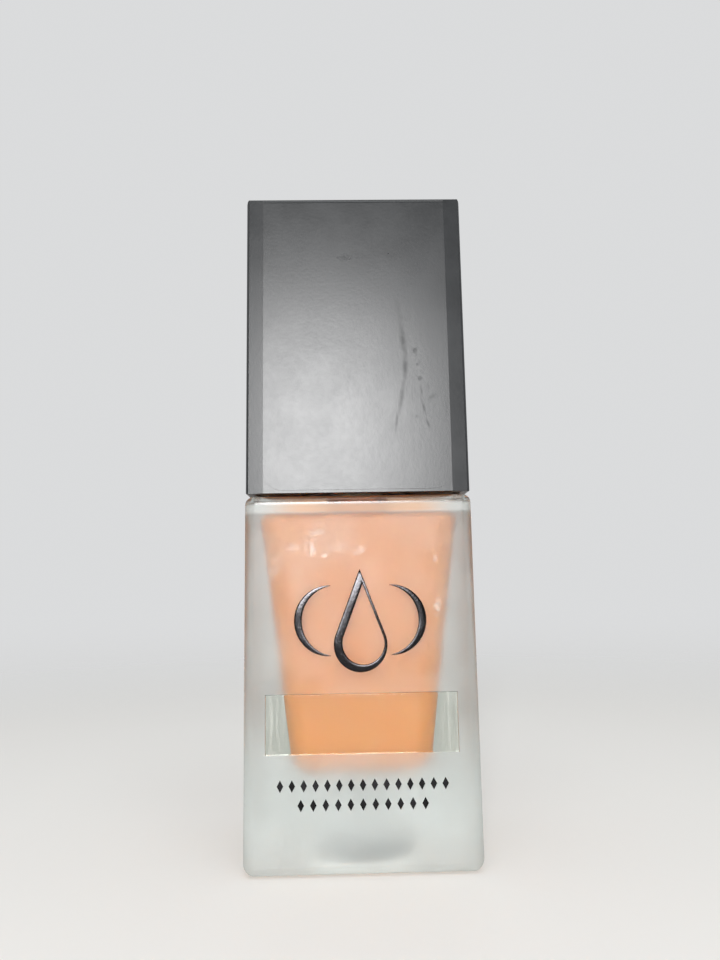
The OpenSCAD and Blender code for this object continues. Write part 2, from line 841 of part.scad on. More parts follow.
glass_bottle();
foundation_fluid();
emblem_foil();
rule_foil();
clear_label();
base_sticker();
neck_gasket();
pump_housing();
stem_guide();
return_spring();
inlet_ball();
dip_tube();
piston_seal();
piston_core();
stem_tube();
actuator();
nozzle_insert();
screw_collar();
collar_sleeve();
overcap_shell();
overcap_liner();
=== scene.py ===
"""Looks of the foundation bottle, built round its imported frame.

Objects are in metres and stand where the frame has them: +Z is up, -Y is the
front, and the origin is the centre of the base. Sizes written in this file are
in millimetres, unless a name says otherwise, and become metres in build_mesh().
"""

from __future__ import annotations

import logging
import math
from collections.abc import Callable, Sequence
from dataclasses import dataclass, field
from enum import Enum

import bpy
import bmesh
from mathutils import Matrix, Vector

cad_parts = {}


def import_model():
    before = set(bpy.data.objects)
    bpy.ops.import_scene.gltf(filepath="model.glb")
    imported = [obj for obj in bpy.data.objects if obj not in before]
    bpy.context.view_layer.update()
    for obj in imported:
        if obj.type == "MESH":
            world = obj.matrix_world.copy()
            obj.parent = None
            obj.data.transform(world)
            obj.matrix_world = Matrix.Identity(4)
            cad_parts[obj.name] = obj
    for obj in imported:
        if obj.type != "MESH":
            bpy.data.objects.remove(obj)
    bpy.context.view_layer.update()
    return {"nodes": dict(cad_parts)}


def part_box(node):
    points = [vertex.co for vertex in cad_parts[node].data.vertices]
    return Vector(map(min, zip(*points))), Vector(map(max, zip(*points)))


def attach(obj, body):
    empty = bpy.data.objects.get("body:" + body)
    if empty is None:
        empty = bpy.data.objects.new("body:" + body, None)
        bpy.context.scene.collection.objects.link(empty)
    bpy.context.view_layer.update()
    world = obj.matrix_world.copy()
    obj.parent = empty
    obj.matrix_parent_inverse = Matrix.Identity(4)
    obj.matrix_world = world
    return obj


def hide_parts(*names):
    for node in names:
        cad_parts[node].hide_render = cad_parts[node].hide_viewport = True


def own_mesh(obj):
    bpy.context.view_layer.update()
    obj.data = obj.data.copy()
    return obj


LOG = logging.getLogger("foundation_bottle")
MM = 0.001

Point = tuple[float, float, float]
Flat = tuple[float, float]
Ring = list[Point]
Colour = tuple[float, float, float, float]
Node = bpy.types.Node
Socket = bpy.types.NodeSocket


# ---- Colours and nodes ----


def linear(hex_colour: str) -> Colour:
    """Turns an sRGB hex colour into a linear one.

    Args:
        hex_colour: six hex digits, such as "c0ffee".

    Returns:
        Red, green, blue and an alpha of 1, all linear.
    """
    channels = [int(hex_colour[i : i + 2], 16) / 255 for i in (0, 2, 4)]
    red, green, blue = (
        c / 12.92 if c <= 0.04045 else ((c + 0.055) / 1.055) ** 2.4 for c in channels
    )
    return (red, green, blue, 1.0)


@dataclass(frozen=True)
class Graph:
    """The nodes of a material or of the world, while they are laid.

    Attributes:
        tree: the node tree.
        shader: a material's Principled shader.
        place: the piece's own coordinates in millimetres.
    """

    tree: bpy.types.NodeTree
    shader: Node | None = None
    place: Socket | None = None

    @classmethod
    def clean(cls, owner: bpy.types.Material | bpy.types.World) -> Graph:
        """Gives the empty graph of a material or of the world."""
        owner.use_nodes = True
        owner.node_tree.nodes.clear()
        return cls(owner.node_tree)

    def feed(self, socket: Socket, value: object) -> None:
        """Sets an input to a value, or links it to a socket or to a node.

        Args:
            socket: the input to fill.
            value: a plain value, an output socket, or a node whose first live
                output is meant.
        """
        if isinstance(value, Node):
            value = next(output for output in value.outputs if output.enabled)
        if isinstance(value, Socket):
            self.tree.links.new(value, socket)
        else:
            socket.default_value = value

    def add(
        self, kind: str, inputs: dict[str | int, object] | None = None, **settings: object
    ) -> Node:
        """Adds a shader node with its settings, and fills or links its inputs.

        Args:
            kind: the node's type, without its usual "ShaderNode".
            inputs: what feed() takes for each input, by name or index.
            **settings: the node's own settings, such as operation="ADD".

        Returns:
            The new node.
        """
        node = self.tree.nodes.new("ShaderNode" + kind)
        for name, value in settings.items():
            setattr(node, name, value)
        for key, value in (inputs or {}).items():
            self.feed(node.inputs[key], value)
        return node

    def drive(self, target: str, value: object) -> None:
        """Feeds one input of the material's shader, such as "Roughness"."""
        self.feed(self.shader.inputs[target], value)

    def layer(self, target: str, ground: object, *layers: tuple) -> None:
        """Lays values over a ground, and drives an input of the shader with them.

        Args:
            target: the shader's input, such as "Roughness".
            ground: the value, colour or node under all the layers.
            *layers: (mask, value) pairs. Each covers those before it.
        """
        coloured = self.shader.inputs[target].type == "RGBA"
        kind, under, over = ("RGBA", 6, 7) if coloured else ("FLOAT", 2, 3)
        for mask, value in layers:
            mixed = {0: mask, under: ground, over: value}
            ground = self.add("Mix", mixed, data_type=kind)
        self.drive(target, ground)

    def engrave(self, pattern: Pattern, depth: float) -> None:
        """Raises the surface by up to depth, in millimetres, where a pattern is high."""
        height = {"Height": pattern.raw(self), "Distance": depth * MM, "Strength": 1.0}
        self.drive("Normal", self.add("Bump", height))

    def let_lamps_through(self, tint: Colour | Node) -> None:
        """Lets the lamps light what lies behind a clear piece, dimmed by a tint."""
        path = self.add("LightPath")
        clear = self.add("BsdfTransparent", {"Color": tint})
        ways = {0: path.outputs["Is Shadow Ray"], 1: self.shader, 2: clear}
        mixed = self.add("MixShader", ways)
        self.feed(self.tree.get_output_node("ALL").inputs["Surface"], mixed)

    def marked(self, marks: Sequence[Mark], depth: float) -> Node:
        """Gives a mask of soft ellipses on the front face.

        Args:
            marks: the marks to draw, at least one.
            depth: Y of the front face.

        Returns:
            A node that is 0 off the marks and up to 1 on them.
        """
        reach = 3.0  # how far a mark sinks in from the front face
        total: Node | None = None
        for mark in marks:
            spot = {
                "Vector": self.place,
                "Location": (mark.x, depth, mark.z),
                "Rotation": (0, math.radians(mark.lean), 0),
                "Scale": (mark.width / 2, reach, mark.length / 2),
            }
            local = self.add("Mapping", spot, vector_type="TEXTURE")
            blob = self.add("TexGradient", {"Vector": local}, gradient_type="SPHERICAL")
            share = {0: blob.outputs["Fac"], 1: mark.strength * 2}
            weight = self.add("Math", share, operation="MULTIPLY", use_clamp=True)
            if total is None:
                total = weight
            else:
                total = self.add("Math", {0: total, 1: weight}, operation="MAXIMUM")
        return total


# ---- Meshes ----


def build_mesh(
    name: str, points: Sequence[Point], faces: Sequence[Sequence[int]]
) -> bpy.types.Object:
    """Makes a smooth closed piece from points in millimetres.

    Args:
        name: the piece's name.
        points: every vertex, in millimetres.
        faces: the vertex numbers of every face.

    Returns:
        The new object, in metres, with its normals facing outwards.
    """
    mesh = bpy.data.meshes.new(name)
    mesh.from_pydata([[c * MM for c in p] for p in points], [], [list(f) for f in faces])
    shape = bmesh.new()
    shape.from_mesh(mesh)
    bmesh.ops.recalc_face_normals(shape, faces=shape.faces)
    shape.to_mesh(mesh)
    shape.free()
    mesh.shade_smooth()
    piece = bpy.data.objects.new(name, mesh)
    bpy.context.scene.collection.objects.link(piece)
    # Large flat faces keep their own normal, so that small fillets don't bend it.
    weighting = piece.modifiers.new("flat_faces_first", "WEIGHTED_NORMAL")
    weighting.weight = 100
    return piece


def bands(start: int, ring: int, count: int, looped: bool = False) -> list[list[int]]:
    """Gives the quads that join rings of points to each other.

    Args:
        start: number of the first ring's first point.
        ring: how many points a ring has.
        count: how many rings there are.
        looped: whether the last ring joins the first.

    Returns:
        The vertex numbers of every quad.
    """
    faces: list[list[int]] = []
    for i in range(count if looped else count - 1):
        a, b = start + ring * i, start + ring * ((i + 1) % count)
        for j in range(ring):
            k = (j + 1) % ring
            faces.append([a + j, a + k, b + k, b + j])
    return faces


def loft(name: str, rings: Sequence[Ring]) -> bpy.types.Object:
    """Skins a row of rings and closes both ends with a fan.

    Args:
        name: the piece's name.
        rings: rings of equal length, each following the one before.

    Returns:
        The closed piece.
    """
    count = len(rings[0])
    points = [p for ring in rings for p in ring]
    faces = bands(0, count, len(rings))
    for ring, start in ((rings[0], 0), (rings[-1], count * (len(rings) - 1))):
        centre = tuple(sum(p[axis] for p in ring) / count for axis in range(3))
        points.append(centre)
        for j in range(count):
            faces.append([start + j, start + (j + 1) % count, len(points) - 1])
    return build_mesh(name, points, faces)


def quarter(steps: int) -> list[tuple[float, float]]:
    """Gives (1 - cos, sin) at even angles from 0 to 90 degrees."""
    angles = [math.radians(90 * k / steps) for k in range(steps + 1)]
    return [(1 - math.cos(a), math.sin(a)) for a in angles]


@dataclass(frozen=True)
class Outline:
    """Rings that share one count of points, so that square and round ones join."""

    corner_steps: int = 8
    side_steps: tuple[int, int] = (22, 18)
    corner_span: float = 12.0

    def square(self, width: float, depth: float, radius: float, z: float) -> Ring:
        """Makes a rounded rectangle about the axis.

        Args:
            width: size along X.
            depth: size along Y.
            radius: radius of its corners.
            z: its height.

        Returns:
            The ring, anticlockwise from the right-hand side.
        """
        radius = max(radius, 0.05)
        corners: list[Ring] = []
        for q, (sx, sy) in enumerate(((1, 1), (-1, 1), (-1, -1), (1, -1))):
            cx, cy = sx * (width / 2 - radius), sy * (depth / 2 - radius)
            turns = [
                math.radians(90 * (q + i / self.corner_steps))
                for i in range(self.corner_steps + 1)
            ]
            corners.append(
                [(cx + radius * math.cos(a), cy + radius * math.sin(a), z) for a in turns]
            )
        ring: Ring = []
        for q, corner in enumerate(corners):
            ring += corner
            (x0, y0, _), (x1, y1, _) = corner[-1], corners[(q + 1) % 4][0]
            steps = self.side_steps[q % 2]
            for t in (i / steps for i in range(1, steps)):
                ring.append((x0 + t * (x1 - x0), y0 + t * (y1 - y0), z))
        return ring

    def round(self, radius: float | Callable[[float], float], z: float) -> Ring:
        """Makes a circle whose points match the rectangle's.

        Args:
            radius: its radius, or the radius at an angle in degrees.
            z: its height.

        Returns:
            The ring, in the same order as square() gives.
        """
        angles: list[float] = []
        half = self.corner_span / 2
        for q in range(4):
            middle = 45 + 90 * q
            angles += [
                middle + self.corner_span * (i / self.corner_steps - 0.5)
                for i in range(self.corner_steps + 1)
            ]
            steps = self.side_steps[q % 2]
            gap = 90 - self.corner_span
            angles += [middle + half + gap * i / steps for i in range(1, steps)]
        ring: Ring = []
        for a in angles:
            r = radius(a % 360) if callable(radius) else radius
            ring.append((r * math.cos(math.radians(a)), r * math.sin(math.radians(a)), z))
        return ring


# ---- Patterns ----


@dataclass(frozen=True)
class Pattern:
    """Something that varies over a piece.

    Attributes:
        start: its level up to which nothing has changed yet.
        end: its level from which the change is complete.
    """

    start: float = 0.3
    end: float = 0.7

    def raw(self, graph: Graph) -> Node | Socket:
        """Gives the pattern's own level at a place in millimetres."""
        raise NotImplementedError

    def between(self, graph: Graph, low: float, high: float) -> Node:
        """Turns the pattern's level into a value.

        Args:
            graph: the material's nodes.
            low: the value up to the pattern's start.
            high: the value from its end.

        Returns:
            A node that changes smoothly from low to high.
        """
        limits = {"From Min": self.start, "From Max": self.end, "To Min": low, "To Max": high}
        return graph.add(
            "MapRange", {"Value": self.raw(graph), **limits}, interpolation_type="SMOOTHSTEP"
        )


@dataclass(frozen=True)
class Speckle(Pattern):
    """Smooth noise about 0.5, whose patches have a real size.

    Attributes:
        size: width of a patch.
        detail: how much finer noise is laid over it.
        stretch: how much longer a patch is along each axis.
    """

    size: float = 1.0
    detail: float = 2.0
    stretch: Point = (1.0, 1.0, 1.0)

    def raw(self, graph: Graph) -> Node:
        """Gives the bare noise."""
        scale = [1 / (self.size * s) for s in self.stretch]
        moved = graph.add("Mapping", {"Vector": graph.place, "Scale": scale})
        noise = {"Vector": moved, "Scale": 1.0, "Detail": self.detail}
        return graph.add("TexNoise", noise)


@dataclass(frozen=True)
class Slope(Pattern):
    """A change along one axis, or away from a middle on both sides of it.

    Attributes:
        axis: "X", "Y" or "Z".
        middle: where the two sides meet, or None for one side only.
    """

    axis: str = "Z"
    middle: float | None = None

    def raw(self, graph: Graph) -> Node | Socket:
        """Gives the place along the axis, or the distance from the middle."""
        along = graph.add("SeparateXYZ", {"Vector": graph.place}).outputs[self.axis]
        if self.middle is None:
            return along
        off = graph.add("Math", {0: along, 1: self.middle}, operation="SUBTRACT")
        return graph.add("Math", {0: off}, operation="ABSOLUTE")


@dataclass(frozen=True)
class OffAxis(Pattern):
    """The distance from the piece's upright axis."""

    def raw(self, graph: Graph) -> Node:
        """Gives the distance in millimetres."""
        flat = graph.add(
            "VectorMath", {0: graph.place, 1: (1.0, 1.0, 0.0)}, operation="MULTIPLY"
        )
        return graph.add("VectorMath", {0: flat}, operation="LENGTH")


@dataclass(frozen=True)
class Mark:
    """A soft-edged mark on the front: a scuff, a smear or a spot.

    Attributes:
        x: middle of the mark across the front.
        z: height of its middle.
        length: its length.
        width: its width.
        lean: angle from upright, clockwise, in degrees.
        strength: how much it changes the finish, up to 1.
    """

    x: float
    z: float
    length: float
    width: float
    lean: float = 0.0
    strength: float = 1.0


# ---- Finishes ----


@dataclass(frozen=True)
class Finish:
    """One real material and the process that gave it its surface.

    Attributes:
        name: the material's name.
        colour: its sRGB colour.
        roughness: roughness of the bare surface.
        ior: index of refraction, or None where the default stays.
    """

    name: str
    colour: str
    roughness: float
    ior: float | None = 1.5

    def build(self) -> bpy.types.Material:
        """Makes the material: one Principled shader that dress() then details."""
        material = bpy.data.materials.new(self.name)
        graph = Graph.clean(material)
        source = graph.add("TexCoord").outputs["Object"]
        scaled = graph.add("VectorMath", {0: source, "Scale": 1 / MM}, operation="SCALE")
        bare = {"Base Color": linear(self.colour), "Roughness": self.roughness}
        shader = graph.add("BsdfPrincipled", bare)
        graph = Graph(graph.tree, shader, scaled.outputs["Vector"])
        if self.ior is not None:
            graph.drive("IOR", self.ior)
        graph.add("OutputMaterial", {"Surface": shader})
        self.dress(graph)
        return material

    def dress(self, graph: Graph) -> None:
        """Adds what makes the finish look made and used."""
        raise NotImplementedError


@dataclass(frozen=True)
class EtchedGlass(Finish):
    """Pressed soda-lime glass, acid-etched outside.

    The etch scatters light, so the fluid shows soft-edged behind it. Under the
    clear label the adhesive fills the etch, and there the glass looks polished.

    Attributes:
        label_half: half the label's width and height.
        label_z: height of its middle.
        label_soft: softness of its adhesive's edge.
        front_y: Y of the front face.
        shoulder_z: height of the shoulder.
        cast: share of light that passes the etch high on the body.
        foot_cast: the same at the foot.
        band_cast: the same in the band below the shoulder, kept low there so that a painted
            highlight shows, warm above the fluid.
        rim_cast: the same on the shoulder's round edge, where the etch is thin.
        smear_cast: the same under a smear.
        recess_cast: the same in the recess under the base.
        wet_cast: the same under the label.
        high_gain: how much smoother the etch is high on the body.
        rim_roughness: roughness of the shoulder's round edge.
        wet_roughness: roughness under the label.
        smears: pale smears on the front.
    """

    label_half: Flat = (14.2, 4.3)
    label_z: float = 21.2
    label_soft: float = 0.08
    front_y: float = -13.5
    shoulder_z: float = 55.0
    cast: float = 0.94
    foot_cast: float = 0.73
    band_cast: float = 0.7
    rim_cast: float = 0.97
    smear_cast: float = 0.42
    recess_cast: float = 0.05
    wet_cast: float = 0.98
    high_gain: float = 0.1
    rim_roughness: float = 0.22
    wet_roughness: float = 0.05
    smears: tuple[Mark, ...] = ()

    def window(self, graph: Graph) -> Node:
        """Gives 1 where the label's adhesive wets the front, and 0 elsewhere."""
        soft = self.label_soft
        across, up = self.label_half
        first, *others = (
            Slope(across - soft, across + soft, "X", 0.0).between(graph, 1, 0),
            Slope(up - soft, up + soft, "Z", self.label_z).between(graph, 1, 0),
            Slope(self.front_y + 0.05, self.front_y + 0.1, "Y").between(graph, 1, 0),
        )
        for other in others:
            first = graph.add("Math", {0: first, 1: other}, operation="MULTIPLY")
        return first

    def dress(self, graph: Graph) -> None:
        """Varies the etch, thins it at the shoulder and clears it under the label."""
        top = self.shoulder_z
        window = self.window(graph)
        smears = graph.marked(self.smears, self.front_y)
        torn = Speckle(size=0.8, detail=3.0).between(graph, 0.0, 1.0)
        ragged = graph.add("Math", {0: smears, 1: torn}, operation="MULTIPLY")
        thinned = Slope(top - 1.6, top - 1.1).between(graph, 0.0, 1.0)
        shoulder_band = Slope(top - 3.0, top - 2.3).between(graph, 0.0, 1.0)
        low = Slope(0.9, 1.9).between(graph, 1.0, 0.0)
        central = OffAxis(9.8, 11.5).between(graph, 1.0, 0.0)
        recess = graph.add("Math", {0: low, 1: central}, operation="MULTIPLY")
        # A warm colour is painted on the shoulder's round edge above the fluid: a painted glow
        # standing in for the fluid's light seen through that edge.
        over_fluid = Slope(8.5, 15.5, "X", 0.0).between(graph, 1.0, 0.0)
        below_top = Slope(top - 0.5, top - 0.1).between(graph, 1.0, 0.0)
        rim = graph.add("Math", {0: shoulder_band, 1: below_top}, operation="MULTIPLY")
        painted_glow = graph.add("Math", {0: rim, 1: over_fluid}, operation="MULTIPLY")
        bare = linear(self.colour)
        # The paler colour in the recess under the base is painted light: it lifts the shade
        # seen there through the glass.
        pale, warm = (recess, linear("e6e9e7")), (painted_glow, linear("f0c19a"))
        graph.layer("Base Color", bare, pale, warm)
        # Share of light that passes instead of scattering back off the etch.
        settled = Slope(4.0, 0.5 * top).between(graph, self.foot_cast, self.cast)
        uneven = Speckle(size=7.0, detail=3.0).between(graph, -0.04, 0.04)
        graph.layer(
            "Transmission Weight",
            graph.add("Math", {0: settled, 1: uneven}, operation="ADD"),
            (shoulder_band, self.band_cast),
            (thinned, self.rim_cast),
            (recess, self.recess_cast),
            (ragged, self.smear_cast),
            (window, self.wet_cast),
        )
        finer = self.roughness - self.high_gain
        coarse = Slope(15.0, 45.0).between(graph, self.roughness, finer)
        edged, wetted = (thinned, self.rim_roughness), (window, self.wet_roughness)
        graph.layer("Roughness", coarse, edged, wetted)
        # Real etch is far finer: its pits are drawn as coarse as they need to show.
        pits = Speckle(size=0.35).raw(graph)
        dry = graph.add("Math", {0: 1.0, 1: window}, operation="SUBTRACT")
        grain = graph.add("Math", {0: pits, 1: dry}, operation="MULTIPLY")
        height = {"Height": grain, "Distance": 0.006 * MM, "Strength": 1.0}
        graph.drive("Normal", graph.add("Bump", height))
        # What a lamp's light loses on its way in, set by height to paint shade: least at the
        # foot, most up high.
        high = Slope(24.0, 50.0).between(graph, 0.0, 1.0)
        foot = Slope(4.0, 12.0).between(graph, 1.0, 0.0)
        body = {0: high, 6: linear("7d807e"), 7: linear("60625e")}
        upper = graph.add("Mix", body, data_type="RGBA")
        whole = {0: foot, 6: upper, 7: linear("b0b2b1")}
        tint = graph.add("Mix", whole, data_type="RGBA")
        graph.let_lamps_through(tint)


@dataclass(frozen=True)
class ClearFilm(Finish):
    """Cast polypropylene film with a clear adhesive.

    It has a soft gloss, a faint haze and fine lines along the way it was drawn.
    """

    def dress(self, graph: Graph) -> None:
        """Draws faint machine lines along the film and creases at its ends."""
        near_end = Slope(9.8, 12.6, "X", 0.0).between(graph, 0.0, 1.0)
        folds = Speckle(0.42, 0.7, 0.45, 3.0, (1.0, 1.0, 9.0))
        creased = graph.add(
            "Math", {0: near_end, 1: folds.between(graph, 0.0, 0.07)}, operation="MULTIPLY"
        )
        clear = graph.add("Math", {0: 1.0, 1: creased}, operation="SUBTRACT")
        graph.drive("Transmission Weight", clear)
        least, most = self.roughness - 0.03, self.roughness + 0.05
        haze = Speckle(size=3.0).between(graph, least, most)
        graph.drive("Roughness", haze)
        lines = Speckle(size=0.5, stretch=(12.0, 1.0, 1.0))
        graph.engrave(lines, 0.004)
        graph.let_lamps_through(linear("f8f8f6"))


@dataclass(frozen=True)
class StampedFoil(Finish):
    """Dark chrome foil, hot-stamped onto glass.

    A thin metal skin: near black where it mirrors the room and white where it
    mirrors a lamp, with pinholes where it missed the etched surface.
    """

    worn: str = "3b3a3c"

    def dress(self, graph: Graph) -> None:
        """Roughens the foil in pinholes and lets its tone drift."""
        graph.drive("Metallic", 1.0)
        pits = Speckle(0.6, 0.75, 0.28, 4.0)
        rough = pits.between(graph, self.roughness, self.roughness + 0.18)
        graph.drive("Roughness", rough)
        worn = (Speckle(size=3.0).between(graph, 0.0, 1.0), linear(self.worn))
        graph.layer("Base Color", linear(self.colour), worn)
        graph.engrave(pits, 0.008)


@dataclass(frozen=True)
class SatinPaint(Finish):
    """ABS, spray-painted soft satin black.

    Fine spray grain, and handling that has polished some of the paint and
    greyed it elsewhere.

    Attributes:
        front_y: Y of the front face.
        cloudy: its paler tone.
        rubbed: its tone in a scuff.
        scuff_roughness: roughness of a scuff.
        touch_roughness: roughness under a finger smudge.
        scuffs: rubbed marks on the front.
        smudges: finger marks on the front.
    """

    front_y: float = -13.35
    cloudy: str = "1e2022"
    rubbed: str = "141618"
    scuff_roughness: float = 0.46
    touch_roughness: float = 0.2
    scuffs: tuple[Mark, ...] = ()
    smudges: tuple[Mark, ...] = ()

    def dress(self, graph: Graph) -> None:
        """Adds spray grain, rubbed patches, scuffs and finger smudges."""
        cloud = Speckle(size=5.0, detail=4.0)
        scuffed = graph.add(
            "Math",
            {
                0: graph.marked(self.scuffs, self.front_y),
                1: Speckle(0.3, 0.6, 0.9, 4.0).between(graph, 0.4, 0.95),
            },
            operation="MULTIPLY",
        )
        smudged = graph.add(
            "Math",
            {0: graph.marked(self.smudges, self.front_y), 1: cloud.between(graph, 0.2, 1.0)},
            operation="MULTIPLY",
        )
        least, most = self.roughness - 0.008, self.roughness + 0.012
        mottled = graph.add(
            "Math",
            {
                0: cloud.between(graph, least, most),
                1: Speckle(size=0.8, detail=3.0).between(graph, -0.007, 0.009),
            },
            operation="ADD",
        )
        rubbed, touched = (scuffed, self.scuff_roughness), (smudged, self.touch_roughness)
        graph.layer("Roughness", mottled, rubbed, touched)
        paler = (cloud.between(graph, 0.0, 1.0), linear(self.cloudy))
        darker = (scuffed, linear(self.rubbed))
        graph.layer("Base Color", linear(self.colour), paler, darker)
        # Real spray grain is finer: it is drawn as coarse as it needs to show.
        graph.engrave(Speckle(size=0.45, detail=3.0), 0.006)


class MouldSurface(Enum):
    """How the mould that shaped a plastic piece was finished: (grain, depth)."""

    POLISHED = (0.9, 0.002)
    STONED = (0.35, 0.004)
    SPARKED = (0.3, 0.012)


@dataclass(frozen=True)
class MouldedPlastic(Finish):
    """Injection-moulded polypropylene or ABS.

    The surface copies its mould, flow lines drift through its gloss, and a
    natural resin lets light sink in.
    """

    surface: MouldSurface = MouldSurface.POLISHED
    pale: str = "2a2b2d"
    milky: float = 0.0

    def dress(self, graph: Graph) -> None:
        """Adds the mould's grain, flow lines and a little depth."""
        flow = Speckle(size=2.5, detail=3.0, stretch=(1.0, 1.0, 3.0))
        rough = flow.between(graph, self.roughness - 0.03, self.roughness + 0.06)
        graph.drive("Roughness", rough)
        paler = (flow.between(graph, 0.0, 0.6), linear(self.pale))
        graph.layer("Base Color", linear(self.colour), paler)
        if self.milky:
            graph.drive("Subsurface Weight", self.milky)
            graph.drive("Subsurface Radius", (1.0, 0.9, 0.8))
            graph.drive("Subsurface Scale", 1.2 * MM)
        size, depth = self.surface.value
        graph.engrave(Speckle(size=size, detail=3.0), depth)


@dataclass(frozen=True)
class ExtrudedTube(Finish):
    """Natural polyethylene, drawn through a die.

    Hazy and half clear, with fine lines along the tube.
    """

    def dress(self, graph: Graph) -> None:
        """Draws die lines along the tube and clouds it."""
        graph.drive("Transmission Weight", 0.5)
        least, most = self.roughness - 0.05, self.roughness + 0.05
        cloud = Speckle(size=2.0).between(graph, least, most)
        graph.drive("Roughness", cloud)
        lines = Speckle(size=0.3, stretch=(1.0, 1.0, 30.0))
        graph.engrave(lines, 0.01)


@dataclass(frozen=True)
class StainlessSteel(Finish):
    """Stainless steel, drawn to wire or ground to a ball.

    A cool bright metal with fine marks from the die or the grinding.
    """

    def dress(self, graph: Graph) -> None:
        """Adds fine scratches and a soft drift in polish."""
        graph.drive("Metallic", 1.0)
        least, most = self.roughness - 0.05, self.roughness + 0.08
        polish = Speckle(size=1.5).between(graph, least, most)
        graph.drive("Roughness", polish)
        scratches = Speckle(size=0.25, detail=4.0, stretch=(1.0, 1.0, 3.0))
        graph.engrave(scratches, 0.004)


@dataclass(frozen=True)
class CutFoam(Finish):
    """Expanded polyethylene sheet, die-cut to a ring.

    White and matt, with the skins of fine closed cells.
    """

    cell: float = 0.25

    def dress(self, graph: Graph) -> None:
        """Dimples the surface with cells."""
        cells = graph.add("TexVoronoi", {"Vector": graph.place, "Scale": 1 / self.cell})
        walls = (cells, linear("d9dbd6"))
        graph.layer("Base Color", linear(self.colour), walls)
        height = {"Height": cells, "Distance": 0.05 * MM, "Strength": 1.0}
        graph.drive("Normal", graph.add("Bump", height))


@dataclass(frozen=True)
class CoatedPaper(Finish):
    """Clay-coated paper, blank, on a clear adhesive.

    Smooth and nearly white, with faint clouds of fibre and a soft sheen.
    """

    def dress(self, graph: Graph) -> None:
        """Adds fibres to its tone and its surface."""
        fibres = Speckle(size=0.5, detail=5.0, stretch=(2.5, 1.0, 1.0))
        darker = (fibres.between(graph, 0.0, 1.0), linear("dcd9d1"))
        graph.layer("Base Color", linear(self.colour), darker)
        graph.engrave(fibres, 0.01)


@dataclass(frozen=True)
class LiquidMakeup(Finish):
    """Pigmented emulsion, poured.

    Opaque and creamy: light sinks in a little, and slow streaks of paler
    pigment hang where it last slid down the wall.
    """

    pale: str = "e89f61"

    def dress(self, graph: Graph) -> None:
        """Streaks the fluid and softens it with subsurface light."""
        streaks = Speckle(0.45, 0.8, 3.5, 3.0, (1.0, 1.0, 4.0))
        clots = Speckle(0.6, 0.75, 1.3, 3.0)
        both = graph.add(
            "Math",
            {0: streaks.between(graph, 0.0, 0.6), 1: clots.between(graph, 0.0, 0.35)},
            operation="ADD",
            use_clamp=True,
        )
        paler = (both, linear(self.pale))
        graph.layer("Base Color", linear(self.colour), paler)
        graph.drive("Subsurface Weight", 0.25)
        graph.drive("Subsurface Radius", (1.0, 0.55, 0.35))
        graph.drive("Subsurface Scale", 0.8 * MM)
        graph.engrave(clots, 0.01)


# ---- Sub-assemblies ----


@dataclass
class Assembly:
    """A group of pieces that belong together."""

    nodes: dict[str, bpy.types.Object]

    def dress_node(self, name: str, material: bpy.types.Material) -> None:
        """Gives a piece of the frame its material."""
        node = self.nodes[name]
        node.data.materials.clear()
        node.data.materials.append(material)
        LOG.info("%s: dressed in %s", name, material.name)

    def place_piece(
        self,
        piece: bpy.types.Object,
        material: bpy.types.Material,
        body: str,
        node: str,
        slot: str,
    ) -> None:
        """Lets a built piece stand for a node of the frame.

        Args:
            piece: the new piece.
            material: its finish.
            body: the body that it rides on.
            node: the node that it replaces.
            slot: the record's material slot. It is not used.
        """
        piece.data.materials.append(material)
        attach(piece, body)
        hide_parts(node)
        LOG.info("%s: %d faces for %s", piece.name, len(piece.data.polygons), node)


